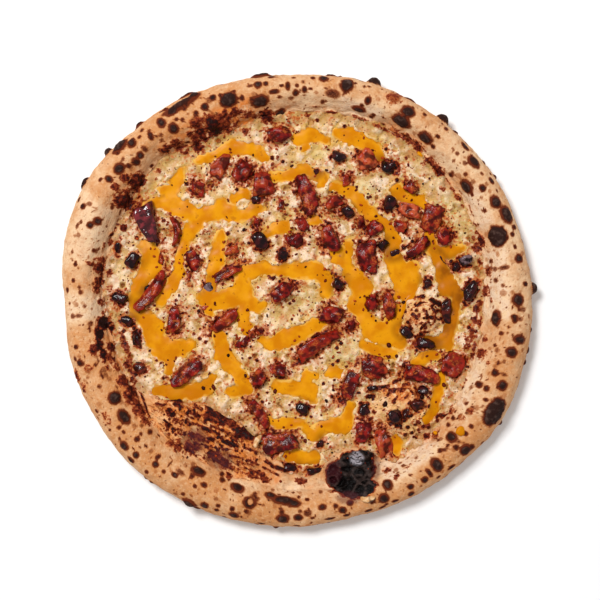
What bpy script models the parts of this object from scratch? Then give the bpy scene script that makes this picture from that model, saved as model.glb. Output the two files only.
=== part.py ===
"""A whole baked pizza: blistered rim, cheese cream, egg yolk sauce, cured pork and truffle.

Everything is drawn in millimetres and turned into metres when a mesh is made.
The origin is at the middle of the flat underside, +Z is up and +Y is the far side.
A bearing is an angle in degrees, clockwise from +Y when seen from above.
"""
import math
import random

import bmesh
import bpy
from mathutils import Vector, noise
from mathutils.geometry import delaunay_2d_cdt

# ---------------------------------------------------------------- driving dimensions, mm
MM = 0.001               # metres in a millimetre
GAP = 0.3                # clearance between pieces that touch
STATIONS = 90            # sections round the rim
FLOOR_TOP = 3.0          # thickness of the baked disc under the cheese
SEAM_TOP = 6.8           # height where the rim's inner slope meets the cheese
SEAM_RUN = 2.2           # how far that slope runs in between the seam and the disc
CHEESE_EDGE = 6.4        # height of the cheese at its edge
CHEESE_LEVEL = 6.5       # mean height of the cheese in the middle
GRID = 8.6               # spacing of the cheese's surface points
SAUCE_THICK = 1.2        # thickness of the yolk sauce in the middle of a streak
SAUCE_EDGE = 0.45        # thickness of the yolk sauce at its edge
SMALLEST_POOL = 200.0    # square mm; smaller spots of sauce are left out
SHIFT_X = 1.0            # from the drawing's middle to the middle of the finished box
SHIFT_Y = 0.35

# The rim every 15 degrees of bearing: outer radius, inner radius, height.
RIM_STEP = 15.0
RIM = [
    (144.0, 121.0, 20.0), (146.0, 122.0, 21.0), (146.0, 123.0, 21.5), (146.0, 121.0, 20.5),
    (147.0, 121.0, 20.0), (147.0, 120.0, 21.0), (148.5, 118.0, 22.0), (149.0, 116.5, 22.5),
    (150.0, 117.0, 22.0), (147.0, 120.0, 20.5), (145.0, 119.0, 21.0), (143.0, 119.0, 20.0),
    (144.5, 118.0, 19.5), (146.5, 118.0, 21.0), (148.5, 118.0, 22.0), (151.0, 120.0, 22.5),
    (151.0, 119.0, 22.0), (151.5, 121.0, 21.5), (150.5, 125.0, 20.5), (155.5, 126.0, 22.0),
    (156.0, 125.0, 23.0), (152.0, 126.0, 22.0), (149.5, 118.0, 22.5), (145.5, 118.0, 21.5),
]

# Where the rim reaches in over the filling, by bearing: under the burst bubble, and then
# where a second big bubble has fallen in.
FLAP = [(149.5, 0.0), (153.0, 6.0), (156.0, 14.0), (160.0, 19.0), (166.0, 19.5), (170.0, 15.0),
        (174.0, 7.0), (178.0, 4.0), (183.0, 7.0), (188.0, 15.0), (194.0, 17.0), (199.0, 26.0),
        (206.0, 30.0), (216.0, 30.0), (223.0, 29.0), (229.0, 21.0), (235.0, 9.0), (241.0, 0.0)]
FLAP_HEIGHT = 10.5

# Swollen bubbles under the cheese: middle x, y, half length, half width, height.
DOMES = [(79.0, -9.5, 14.5, 15.5, 7.5), (66.0, -71.0, 25.0, 19.0, 8.5), (-8.0, 118.0, 12.0, 6.0, 1.5)]

# Blisters on the rim: bearing, radius, size along the rim, size across it, rise.
BLISTERS = [
    (12.2, 141.0, 8.4, 9.0, 1.8), (18.9, 147.0, 9.0, 7.0, 2.4), (30.0, 139.0, 9.0, 7.0, 1.6),
    (29.3, 131.5, 12.6, 8.6, 2.2), (17.2, 128.0, 8.0, 5.5, 1.4), (37.5, 131.0, 10.0, 7.4, 1.8),
    (38.5, 147.0, 8.0, 6.0, 2.4), (51.5, 142.0, 8.6, 6.0, 1.6), (55.5, 128.8, 9.6, 7.4, 1.8),
    (63.3, 139.8, 8.0, 6.4, 1.5), (67.7, 143.0, 11.5, 8.0, 1.8), (72.0, 132.6, 14.0, 12.5, 2.6),
    (87.2, 149.0, 8.0, 6.0, 2.4), (90.0, 139.5, 7.6, 7.4, 1.6), (95.5, 126.0, 9.6, 7.0, 1.8),
    (100.3, 142.5, 5.6, 7.4, 1.4), (104.0, 139.5, 6.4, 7.0, 1.5), (113.0, 141.0, 6.4, 6.0, 1.3),
    (119.7, 143.6, 20.0, 12.5, 2.6), (132.0, 143.0, 7.4, 6.6, 1.6), (132.3, 131.0, 6.4, 7.4, 1.6),
    (140.3, 137.2, 6.8, 9.0, 1.7), (157.2, 137.6, 6.4, 6.2, 1.4), (154.5, 130.8, 6.0, 6.6, 1.4),
    (186.0, 128.5, 21.0, 7.0, 1.6), (193.9, 133.2, 8.4, 7.2, 1.5), (184.3, 140.6, 7.4, 5.6, 1.4),
    (198.6, 127.0, 8.4, 6.4, 1.6), (209.0, 146.6, 9.4, 6.6, 2.2), (210.7, 127.8, 9.4, 6.6, 1.5),
    (236.5, 135.5, 10.0, 6.8, 1.8), (242.2, 134.3, 8.4, 8.4, 1.8), (259.0, 131.0, 25.0, 13.0, 1.6),
    (298.8, 155.0, 9.4, 6.4, 2.4), (310.7, 151.0, 11.5, 7.4, 2.0), (305.8, 143.0, 7.4, 6.4, 1.6),
    (300.4, 129.0, 14.0, 13.0, 1.7), (306.6, 131.4, 13.5, 13.0, 1.9), (340.2, 135.8, 11.4, 9.4, 2.2),
    (348.4, 130.2, 11.4, 7.6, 2.0), (333.6, 126.4, 10.5, 12.0, 1.8), (329.0, 128.5, 8.0, 11.0, 1.3),
    (349.7, 125.5, 8.6, 8.0, 1.5), (353.8, 124.5, 7.0, 7.0, 1.5), (323.6, 136.2, 6.2, 6.6, 1.4),
]

# Lumps of the burst, burnt bubble at the near edge: x, y, half size x, y, top height.
CRATER = [(26.0, -114.5, 10.0, 12.5, 18.5), (42.0, -108.5, 7.0, 11.0, 16.0),
          (36.0, -122.5, 14.0, 9.5, 22.0), (34.0, -105.5, 8.0, 6.0, 13.5)]

# Yolk sauce poured in swirls. Each streak is a row of (x, y, width).
STREAKS = [
    [(-98, 62, 4), (-92, 63, 6), (-84, 62, 11), (-76, 58, 12), (-66, 54, 11), (-57, 55, 10),
     (-49, 58, 13), (-41, 55, 11), (-33, 57, 10), (-27, 59, 7)],
    [(-88, 70, 6), (-82, 72, 8), (-79, 76, 9), (-77, 82, 5)],
    [(-82, 62, 8), (-84, 68, 7), (-80, 73, 8)],
    [(-66, 52, 11), (-70, 45, 9), (-74, 37, 7), (-77, 28, 6), (-77, 19, 7), (-81, 12, 9),
     (-86, 6, 8), (-89, 0, 8)],
    [(-101, 36, 6), (-96, 31, 12), (-95, 23, 13), (-99, 16, 11), (-104, 8, 9), (-106, 0, 8),
     (-104, -8, 9), (-99, -12, 11), (-94, -18, 15), (-93, -26, 13), (-86, -32, 13), (-77, -31, 11),
     (-71, -28, 7)],
    [(-93, -33, 7), (-85, -38, 8), (-84, -46, 4)],
    [(-50, 43, 5), (-52, 35, 8), (-53, 26, 9), (-55, 18, 9), (-57, 10, 7), (-60, 2, 9), (-55, -1, 12),
     (-46, 1, 13), (-37, 4, 14), (-37, 12, 10), (-37, 17, 10), (-30, 19, 9), (-22, 20, 8),
     (-14, 19, 6), (-5, 19, 10), (3, 19, 11), (11, 18, 11), (17, 13, 9), (17, 5, 8)],
    [(-34, 0, 10), (-29, -4, 9), (-24, -3, 6)],
    [(-35, -4, 9), (-38, -11, 8), (-35, -17, 7), (-34, -21, 4)],
    [(-53, -18, 6), (-50, -27, 10), (-49, -36, 11), (-43, -43, 9), (-37, -51, 9), (-34, -58, 7),
     (-44, -59, 8)],
    [(-26, -25, 4), (-18, -28, 9), (-8, -24, 13), (1, -21, 10), (10, -16, 9), (15, -14, 6)],
    [(-14, -56, 8), (-4, -57, 9), (5, -58, 12), (8, -64, 6)],
    [(4, -55, 8), (4, -47, 6), (10, -49, 4)],
    [(22, 73, 6), (28, 71, 9), (34, 68, 8), (38, 64, 8), (42, 58, 9), (47, 54, 9), (52, 50, 7),
     (57, 45, 8), (60, 39, 10), (59, 30, 8), (62, 22, 12), (66, 15, 15), (66, 5, 10), (64, -4, 8),
     (60, -13, 10), (56, -22, 16), (46, -19, 14), (41, -11, 9), (37, -3, 12), (40, 6, 13),
     (36, 13, 13), (31, 20, 7), (30, 27, 5), (31, 36, 7)],
    [(57, -22, 14), (64, -28, 9)],
    [(83, 41, 7), (84, 33, 8), (90, 30, 9), (98, 31, 7), (104, 33, 5)],
    [(87, 30, 8), (90, 22, 8), (92, 15, 9), (95, 9, 13), (101, 4, 8), (99, -6, 7), (98, -15, 7),
     (94, -24, 9), (95, -30, 8)],
]

# Pieces on the cheese: x, y, length, width, turn, height, bend, taper.
# The turn is the angle of the length from +X; bend is the sag of the middle of the length.
BACON = [
    (-50.5, 86.0, 17.0, 8.5, 55, 4.2, 0.0, 0.2), (-36.8, 82.5, 13.5, 12.0, 40, 3.8, 0.0, 0.0),
    (-23.3, 74.2, 16.0, 12.0, 98, 4.6, 0.0, 0.6), (-13.0, 106.0, 15.0, 10.5, 10, 4.4, 0.0, 0.1),
    (4.8, 66.8, 25.0, 10.5, 108, 4.4, 0.0, 0.1), (22.0, 62.3, 11.0, 8.0, 25, 3.6, 1.5, 0.0),
    (19.6, 38.8, 19.0, 11.0, 112, 4.6, 0.0, 0.2), (-2.6, 37.8, 10.5, 9.0, 20, 3.8, 0.0, 0.2),
    (43.2, 90.6, 13.5, 12.5, 10, 4.4, 0.0, 0.0), (69.6, 57.6, 14.5, 8.4, 170, 3.8, 0.0, 0.0),
    (84.0, 52.0, 18.0, 12.5, 70, 4.8, 0.0, 0.0), (47.2, 45.6, 10.5, 8.8, 60, 3.8, 0.0, -0.4),
    (42.6, 26.4, 21.5, 12.6, 100, 5.0, 0.0, -0.5), (75.6, 33.8, 17.0, 8.0, 45, 4.2, -1.0, -0.2),
    (92.4, 41.2, 10.5, 9.2, 130, 4.0, 0.0, 0.0), (46.2, -1.4, 10.0, 8.6, 100, 4.2, 0.0, 0.0),
    (57.0, -3.6, 17.5, 8.6, 100, 4.6, 1.0, 0.0), (-96.6, 47.8, 25.0, 11.5, 116, 6.4, 2.0, -0.5),
    (-79.4, 44.4, 19.0, 5.0, 96, 4.6, -2.6, 0.0), (-95.2, 4.6, 29.0, 8.2, 52, 4.8, -1.2, 0.0),
    (-80.0, -13.6, 17.5, 7.6, 84, 4.4, 0.0, 0.1), (-48.2, -13.0, 20.0, 7.6, 38, 4.4, 0.0, 0.1),
    (-46.2, 17.6, 19.5, 5.8, 25, 3.8, 0.8, 0.1), (-68.0, 25.6, 12.0, 9.4, 120, 3.4, 0.0, 0.0),
    (-11.2, 5.2, 16.0, 9.6, 42, 4.6, 0.0, 0.2), (20.4, -9.4, 13.0, 11.6, 160, 4.6, 0.0, 0.0),
    (10.6, -28.4, 28.5, 9.2, 33, 4.8, 1.0, 0.0), (-73.6, -47.2, 25.0, 9.6, 38, 5.0, 0.8, 0.1),
    (-13.2, -90.8, 21.5, 13.0, 14, 5.4, 0.0, 0.0), (-25.8, -74.0, 21.0, 7.2, -56, 4.4, 1.0, 0.0),
    (-26.8, -50.6, 10.5, 7.6, 55, 4.0, 0.0, 0.0), (-13.6, -44.4, 10.0, 7.8, 140, 3.8, 0.0, 0.0),
    (46.6, -43.4, 16.5, 15.0, 20, 5.2, 0.0, 0.0), (31.4, -54.8, 18.5, 9.4, 68, 4.2, 0.0, 0.2),
    (40.2, -84.8, 13.5, 9.6, 86, 4.6, 0.0, 0.0), (52.8, -90.6, 18.0, 9.0, 112, 4.6, -1.0, 0.0),
    (77.6, -47.2, 22.0, 10.4, -16, 5.4, 1.0, 0.0), (97.4, -41.0, 16.0, 13.6, 60, 5.0, 0.0, 0.0),
]
TRUFFLE = [
    (-25.6, 38.0, 13.0, 10.0, 125, 5.6, 0.0, 0.0), (30.4, 56.0, 9.6, 7.0, 150, 4.6, 0.0, 0.0),
    (56.4, 85.6, 12.0, 7.6, 160, 4.6, 1.4, 0.0), (24.4, 91.6, 9.4, 7.4, 150, 3.8, 0.0, 0.0),
    (57.0, 61.2, 10.0, 8.8, 60, 4.8, 0.0, 0.0), (-106.6, 24.8, 11.0, 9.2, 55, 5.4, 0.0, 0.0),
    (-115.8, 1.0, 10.0, 8.0, 140, 4.8, 0.0, 0.0), (-104.6, -25.2, 9.8, 5.2, 95, 4.2, 0.0, 0.0),
    (67.8, -21.0, 9.6, 7.4, 130, 4.8, 0.0, 0.0), (79.8, -27.8, 14.0, 8.4, 165, 4.8, 0.0, 0.2),
    (108.8, 5.4, 16.0, 9.4, 60, 6.2, 0.0, 0.0), (1.0, -69.8, 10.0, 8.0, 170, 4.6, 0.0, 0.0),
]

CRUST_COLOUR = (0.72, 0.47, 0.27)
CHEESE_COLOUR = (0.74, 0.62, 0.44)
SAUCE_COLOUR = (0.86, 0.38, 0.02)
BACON_COLOUR = (0.24, 0.035, 0.02)
TRUFFLE_COLOUR = (0.02, 0.012, 0.012)


# ---------------------------------------------------------------- small helpers
def polar(bearing, radius):
    """The x and y of a point at a bearing and a radius."""
    turn = math.radians(bearing)
    return radius * math.sin(turn), radius * math.cos(turn)


def smooth_table(rows, column, bearing):
    """One column of an evenly spaced closed table, read as a smooth curve."""
    place = (bearing % 360.0) / RIM_STEP
    first = int(place)
    part = place - first
    before, start, end, after = (rows[(first + step) % len(rows)][column] for step in (-1, 0, 1, 2))
    bend = 2 * before - 5 * start + 4 * end - after
    twist = 3 * (start - end) + after - before
    return start + 0.5 * part * (end - before + part * (bend + part * twist))


def flap_reach(bearing):
    """How far the rim reaches in over the filling at one bearing."""
    for (start, low), (end, high) in zip(FLAP, FLAP[1:]):
        if start <= bearing <= end:
            part = (bearing - start) / (end - start)
            return low + (high - low) * part * part * (3 - 2 * part)
    return 0.0


def material(name, colour, roughness):
    """A plain surface in one colour."""
    made = bpy.data.materials.new(name)
    made.use_nodes = True
    shader = made.node_tree.nodes["Principled BSDF"]
    shader.inputs["Base Color"].default_value = (*colour, 1.0)
    shader.inputs["Roughness"].default_value = roughness
    return made


def new_object(name, points, faces, surface):
    """A mesh object from points in millimetres."""
    mesh = bpy.data.meshes.new(name)
    shift = Vector((SHIFT_X, SHIFT_Y, 0.0))
    mesh.from_pydata([(Vector(point) + shift) * MM for point in points], [], faces)
    shape = bmesh.new()
    shape.from_mesh(mesh)
    bmesh.ops.triangulate(shape, faces=shape.faces[:])
    bmesh.ops.recalc_face_normals(shape, faces=shape.faces[:])
    shape.to_mesh(mesh)
    shape.free()
    mesh.materials.append(surface)
    made = bpy.data.objects.new(name, mesh)
    bpy.context.scene.collection.objects.link(made)
    return made


# ---------------------------------------------------------------- the crust
def rim_section(bearing):
    """The rim's section, as (radius, height) from the flat underside, out, over and in."""
    outer = smooth_table(RIM, 0, bearing)
    foot = smooth_table(RIM, 1, bearing)
    high = smooth_table(RIM, 2, bearing)
    reach = flap_reach(bearing)
    inner = foot - reach
    belly = 9.5
    crest = outer - 0.46 * (outer - foot)
    section = [(outer - 13.0, 0.0), (outer - 7.0, 0.9)]
    for angle in (-42, -16, 4, 24, 43, 62, 79):
        turn = math.radians(angle)
        up = high - belly if angle > 0 else belly
        section.append((crest + (outer - crest) * math.cos(turn) ** 0.85,
                        belly + up * math.copysign(abs(math.sin(turn)) ** 0.92, turn)))
    fall = high - SEAM_TOP - 2.0
    shelf = SEAM_TOP + 2.0 + (FLAP_HEIGHT - SEAM_TOP - 2.0) * min(1.0, reach / 12.0)
    for share in (0.0, 0.32, 0.6, 0.84):
        low = shelf + (high - shelf) * math.cos(share * math.pi / 2) ** 0.9
        section.append((crest + (foot + 1.6 - crest) * share, low if share else high))
    section.append((foot + 2.2, shelf + 0.05 * fall))
    section.append((inner + 1.4 + 0.5 * reach, shelf - 0.3))
    section.append((inner + 0.6 + 0.05 * reach, SEAM_TOP + 0.45 * (shelf - SEAM_TOP) + 0.03 * reach))
    section.append((inner, SEAM_TOP))
    section.append((inner - SEAM_RUN, FLOOR_TOP))
    return section


def uneven(x, y, z):
    """A small outward push that keeps the rim from looking turned."""
    broad = noise.noise(Vector((x, y, z)) * 0.045)
    fine = noise.noise(Vector((x, y, z)) * 0.13 + Vector((7.0, 3.0, 1.0)))
    return 1.1 * broad + 0.7 * fine


def rim_points(bearing):
    """The section at one bearing as points in space; the underside and the seam stay exact."""
    points = []
    section = rim_section(bearing)
    for place, (radius, high) in enumerate(section):
        x, y = polar(bearing, radius)
        if 2 <= place < len(section) - 2:
            push = uneven(x, y, high)
            radius += 0.5 * push * (1 if place < 6 else 0)
            high += push * min(1.0, max(0.0, (place - 4) / 3.0))
            x, y = polar(bearing, radius)
        points.append((x, y, high))
    return points


def crust_body():
    """The rim and the disc in one closed surface, before its blisters."""
    rows = [rim_points(360.0 * place / STATIONS) for place in range(STATIONS)]
    across = len(rows[0])
    points = [point for row in rows for point in row]
    faces = []
    for here in range(STATIONS):
        there = (here + 1) % STATIONS
        for step in range(across - 1):
            faces.append((here * across + step, there * across + step,
                          there * across + step + 1, here * across + step + 1))
    faces.append([row * across for row in range(STATIONS)])
    faces.append([row * across + across - 1 for row in range(STATIONS)])
    return points, faces


def rim_spot(bearing, radius):
    """The place on the top of the rim at a bearing and radius, and the way out of it."""
    section = rim_section(bearing)[4:-1]
    radius = max(section[-1][0] + 0.4, min(radius, section[0][0] - 0.4))
    for (far, low), (near, high) in zip(section, section[1:]):
        if near <= radius <= far:
            part = (far - radius) / max(far - near, 0.01)
            x, y = polar(bearing, radius)
            side_x, side_y = polar(bearing, 1.0)
            out = Vector((side_x * (high - low), side_y * (high - low), far - near)).normalized()
            place = Vector((x, y, low + (high - low) * part))
            push = uneven(*place)
            return place + out * push * 0.8, out
    raise ValueError("no rim at bearing %.1f and radius %.1f" % (bearing, radius))


def dome(name, middle, out, half_along, half_across, half_up, draw):
    """A lumpy low-sided ellipsoid; its long way lies along the rim."""
    along = Vector((out.y, -out.x, 0.0))
    along = along.normalized() if along.length > 0.05 else Vector((1.0, 0.0, 0.0))
    across = out.cross(along)
    sides = 7 if max(half_along, half_across) < 7 else 10
    points = [middle - out * half_up]
    for turn_up in (-30, 14, 50):
        lift = math.radians(turn_up)
        for side in range(sides):
            turn = 2 * math.pi * (side + 0.5 * (turn_up == 14)) / sides
            size = math.cos(lift) * draw.uniform(0.9, 1.08)
            points.append(middle + along * (half_along * size * math.cos(turn))
                          + across * (half_across * size * math.sin(turn))
                          + out * (half_up * math.sin(lift) * draw.uniform(0.92, 1.08)))
    points.append(middle + out * half_up * 0.94)
    faces = []
    for side in range(sides):
        after = (side + 1) % sides
        faces.append((0, 1 + after, 1 + side))
        for ring in (0, 1):
            low = 1 + ring * sides
            faces.append((low + side, low + after, low + sides + after, low + sides + side))
        faces.append((1 + 2 * sides + side, 1 + 2 * sides + after, len(points) - 1))
    return new_object(name, points, faces, bpy.data.materials["crust"])


def make_crust():
    """The crust, with its blisters and its burst bubble joined on by one union."""
    points, faces = crust_body()
    crust = new_object("crust", points, faces, material("crust", CRUST_COLOUR, 0.85))
    lumps = bpy.data.collections.new("lumps")
    bpy.context.scene.collection.children.link(lumps)
    draw = random.Random(11)
    sunk = 0.4
    for number, (bearing, radius, along, across, rise) in enumerate(BLISTERS):
        place, out = rim_spot(bearing, radius)
        half_up = rise / (1.0 - sunk)
        wider = 1.0 / math.sqrt(1.0 - sunk * sunk)
        made = dome("lump_%02d" % number, place - out * half_up * sunk, out,
                    0.5 * along * wider, 0.5 * across * wider, half_up, draw)
        lumps.objects.link(made)
    for number, (x, y, half_x, half_y, top) in enumerate(CRATER):
        low = 4.5
        made = dome("crater_%d" % number, Vector((x, y, (top + low) / 2)), Vector((0.0, 0.0, 1.0)),
                    half_x, half_y, (top - low) / 2, draw)
        lumps.objects.link(made)
    join = crust.modifiers.new("join", "BOOLEAN")
    join.operation = "UNION"
    join.operand_type = "COLLECTION"
    join.collection = lumps
    join.solver = "EXACT"
    bpy.context.view_layer.update()
    joined = bpy.data.meshes.new_from_object(crust.evaluated_get(bpy.context.evaluated_depsgraph_get()))
    crust.modifiers.clear()
    crust.data = joined
    joined.name = "crust"
    for made in list(lumps.objects):
        bpy.data.objects.remove(made, do_unlink=True)
    bpy.data.collections.remove(lumps)
    return crust


# ---------------------------------------------------------------- pieces on the cheese
def piece_ring(row, number, wider, corners):
    """One closed ring of a piece: its outline, wider or narrower by some millimetres."""
    x, y, length, width, turn, _, bend, taper = row
    draw = random.Random(100 + number)
    power = 2.9
    ring = []
    for corner in range(corners):
        angle = 2 * math.pi * (corner + 0.5 + draw.uniform(-0.16, 0.16)) / corners
        side, up = math.cos(angle), math.sin(angle)
        reach = (abs(side) ** power + abs(up) ** power) ** (-1 / power) * draw.uniform(0.9, 1.04)
        along = reach * side * (0.5 * length + wider)
        across = reach * up * (0.5 * width + wider)
        place = 2 * along / length
        across *= 1 - 0.5 * taper * place
        across += bend * (1 - place * place) - 0.5 * bend
        cosine, sine = math.cos(math.radians(turn)), math.sin(math.radians(turn))
        ring.append((x + along * cosine - across * sine, y + along * sine + across * cosine))
    return ring


def corners_of(row):
    """Longer pieces have more corners."""
    return 7 if row[2] < 9 else 8 if row[2] < 15 else 10


def make_piece(name, row, number, level, surface):
    """A chunk that stands on its flat foot, leaning in towards an uneven top."""
    corners = corners_of(row)
    draw = random.Random(500 + number)
    high = row[5]
    foot = level + GAP
    points = [(x, y, foot) for x, y in piece_ring(row, number, 0.0, corners)]
    points += [(x, y, foot + 0.62 * high * draw.uniform(0.85, 1.1))
               for x, y in piece_ring(row, number, -0.25, corners)]
    top = [(x, y, foot + high * draw.uniform(0.86, 1.0))
           for x, y in piece_ring(row, number, -0.17 * row[3], corners)]
    points += top
    middle = Vector((0.0, 0.0, 0.0))
    for point in top:
        middle += Vector(point) / corners
    points.append((middle.x, middle.y, foot + high * 1.04))
    faces = [list(range(corners))]
    for corner in range(corners):
        after = (corner + 1) % corners
        for ring in (0, corners):
            faces.append((ring + corner, ring + after, ring + corners + after, ring + corners + corner))
        faces.append((2 * corners + corner, 2 * corners + after, len(points) - 1))
    return new_object(name, points, faces, surface)


# ---------------------------------------------------------------- cheese and yolk sauce
def seam(inward):
    """The closed line where cheese and rim meet, moved inward."""
    line = []
    for place in range(STATIONS):
        bearing = 360.0 * place / STATIONS
        line.append(polar(bearing, rim_section(bearing)[-2][0] - inward))
    return line


def cheese_height(x, y):
    """The top of the cheese: gently uneven, with swollen bubbles."""
    spot = Vector((x, y, 0.0))
    high = CHEESE_LEVEL + 0.9 * noise.noise(spot * 0.05) + 0.6 * noise.noise(spot * 0.12)
    for mid_x, mid_y, half_x, half_y, rise in DOMES:
        away = ((x - mid_x) / half_x) ** 2 + ((y - mid_y) / half_y) ** 2
        if away < 1.0:
            high += rise * (1.0 - away) ** 1.3
    return high


def sauce_depth(x, y):
    """Above zero inside a streak of sauce: the distance to its edge in millimetres."""
    best = -99.0
    for streak in STREAKS:
        for (ax, ay, aw), (bx, by, bw) in zip(streak, streak[1:]):
            length = (bx - ax) ** 2 + (by - ay) ** 2
            part = ((x - ax) * (bx - ax) + (y - ay) * (by - ay)) / length
            part = min(1.0, max(0.0, part))
            away = math.hypot(x - ax - part * (bx - ax), y - ay - part * (by - ay))
            best = max(best, 0.5 * (aw + part * (bw - aw)) - away)
    return best


def inside(point, ring):
    """True when a point is inside a closed ring."""
    x, y = point
    crossed = False
    for (ax, ay), (bx, by) in zip(ring, ring[1:] + ring[:1]):
        if (ay > y) != (by > y) and x < ax + (y - ay) * (bx - ax) / (by - ay):
            crossed = not crossed
    return crossed


def near_ring(point, ring, reach):
    """True when a point is closer than reach to a side of the ring."""
    x, y = point
    for (ax, ay), (bx, by) in zip(ring, ring[1:] + ring[:1]):
        length = (bx - ax) ** 2 + (by - ay) ** 2
        part = min(1.0, max(0.0, ((x - ax) * (bx - ax) + (y - ay) * (by - ay)) / length))
        if math.hypot(x - ax - part * (bx - ax), y - ay - part * (by - ay)) < reach:
            return True
    return False


def surface_points(edge, pockets):
    """Evenly scattered points over the cheese, clear of its edge and of the pockets."""
    draw = random.Random(3)
    points = []
    row = 0
    y = -125.0
    while y < 130.0:
        x = -135.0 + (0.5 * GRID if row % 2 else 0.0)
        while x < 135.0:
            point = (x + draw.uniform(-0.9, 0.9), y + draw.uniform(-0.9, 0.9))
            x += GRID
            if not inside(point, edge) or near_ring(point, edge, 3.0):
                continue
            close = [ring for ring in pockets if math.dist(point, ring[0]) < 34.0]
            if any(inside(point, ring) or near_ring(point, ring, 2.2) for ring in close):
                continue
            points.append(point)
        y += GRID * math.sqrt(0.75)
        row += 1
    return points


def cheese_mesh(edge, pockets, levels):
    """The cheese's top as triangles: every pocket is flat and every corner has a height."""
    corners = list(edge)
    loops = [list(range(len(edge)))]
    for ring in pockets:
        loops.append(list(range(len(corners), len(corners) + len(ring))))
        corners += ring
    corners += surface_points(edge, pockets)
    sides = [(loop[step], loop[(step + 1) % len(loop)]) for loop in loops for step in range(len(loop))]
    flat, _, triangles, sources, _, _ = delaunay_2d_cdt(
        [Vector(corner) for corner in corners], sides, [loops[0]], 1, 0.0001)
    owner = {}
    for number, loop in enumerate(loops[1:]):
        for corner in loop:
            owner[corner] = number
    top = bmesh.new()
    for corner, source in zip(flat, sources):
        found = [owner[old] for old in source if old in owner]
        if found:
            high = levels[found[0]]
        elif any(old < len(edge) for old in source):
            high = CHEESE_EDGE
        else:
            high = cheese_height(corner.x, corner.y)
        top.verts.new((corner.x, corner.y, high))
    top.verts.ensure_lookup_table()
    for triangle in triangles:
        top.faces.new([top.verts[corner] for corner in triangle])
    return top


def cut_along_sauce(top):
    """Splits the cheese's triangles where the sauce ends, so that both share their corners."""
    top.verts.ensure_lookup_table()
    depth = {vert: sauce_depth(vert.co.x, vert.co.y) for vert in top.verts}
    for vert in depth:
        if abs(depth[vert]) < 0.5:
            depth[vert] = 0.5 if depth[vert] >= 0 else -0.5
    for side in top.edges[:]:
        start, end = side.verts
        if depth[start] * depth[end] < 0:
            part = depth[start] / (depth[start] - depth[end])
            _, made = bmesh.utils.edge_split(side, start, min(0.8, max(0.2, part)))
            depth[made] = 0.0
    for face in top.faces[:]:
        on_line = [vert for vert in face.verts if depth[vert] == 0.0]
        if len(on_line) == 2 and len(face.verts) > 3:
            bmesh.utils.face_split(face, on_line[0], on_line[1])
    bmesh.ops.triangulate(top, faces=[face for face in top.faces if len(face.verts) > 3])
    return depth


def sauce_pools(top, depth, pockets):
    """The groups of triangles under each pool of sauce, largest first."""
    wet = set()
    for face in top.faces:
        middle = face.calc_center_median()
        if min(depth[vert] for vert in face.verts) < 0 or max(depth[vert] for vert in face.verts) <= 0:
            continue
        close = [ring for ring in pockets if math.dist((middle.x, middle.y), ring[0]) < 34.0]
        if not any(inside((middle.x, middle.y), ring) for ring in close):
            wet.add(face)
    pools = []
    while wet:
        pool = {wet.pop()}
        front = list(pool)
        while front:
            face = front.pop()
            for side in face.edges:
                for other in side.link_faces:
                    if other in wet:
                        wet.discard(other)
                        pool.add(other)
                        front.append(other)
        open_up_pinches(pool)
        pools.append(pool)
    pools = [pool for pool in pools if sum(face.calc_area() for face in pool) > SMALLEST_POOL]
    return sorted(pools, key=lambda pool: -sum(face.calc_area() for face in pool))


def open_up_pinches(pool):
    """Drops triangles that meet the rest of a pool at a single corner, or by a thin neck."""
    again = True
    while again:
        again = False
        for vert in {vert for face in pool for vert in face.verts}:
            here = [face for face in vert.link_faces if face in pool]
            fan = {here[0]}
            front = [here[0]]
            while front:
                face = front.pop()
                for side in face.edges:
                    if vert in side.verts:
                        for other in side.link_faces:
                            if other in pool and other not in fan:
                                fan.add(other)
                                front.append(other)
            if len(fan) < len(here):
                smaller = fan if 2 * len(fan) <= len(here) else set(here) - fan
                pool -= smaller
                again = True
                break


def make_sauce(name, pool, depth, surface):
    """A pool of sauce: the cheese's own triangles below, the same ones raised above."""
    verts = sorted({vert for face in pool for vert in face.verts}, key=lambda vert: vert.index)
    spot = {vert: place for place, vert in enumerate(verts)}
    rim = {vert for vert in verts if any(face not in pool for face in vert.link_faces)
           or vert.is_boundary}
    points = [(vert.co.x, vert.co.y, vert.co.z + GAP) for vert in verts]
    for vert in verts:
        thick = SAUCE_EDGE if vert in rim else SAUCE_THICK
        points.append((vert.co.x, vert.co.y, vert.co.z + GAP + thick))
    faces = []
    count = len(verts)
    for face in sorted(pool, key=lambda face: face.index):
        ring = [spot[vert] for vert in face.verts]
        faces.append(ring[::-1])
        faces.append([place + count for place in ring])
        for side in face.loops:
            if not any(other in pool and other is not face for other in side.edge.link_faces):
                start, end = spot[side.vert], spot[side.link_loop_next.vert]
                faces.append((start, end, end + count, start + count))
    return new_object(name, points, faces, surface)


def make_cheese(top, surface):
    """The layer of cheese: its uneven top, a wall along the seam and a flat underside."""
    top.verts.index_update()
    points = [tuple(vert.co) for vert in top.verts]
    faces = [[vert.index for vert in face.verts] for face in top.faces]
    under = len(points)
    lean = (CHEESE_EDGE - FLOOR_TOP - GAP) * SEAM_RUN / (SEAM_TOP - FLOOR_TOP)
    points += [(x, y, FLOOR_TOP + GAP) for x, y in seam(0.75 + lean)]
    for place in range(STATIONS):
        after = (place + 1) % STATIONS
        faces.append((place, after, under + after, under + place))
    faces.append([under + place for place in range(STATIONS)])
    return new_object("cheese", points, faces, surface)


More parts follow.
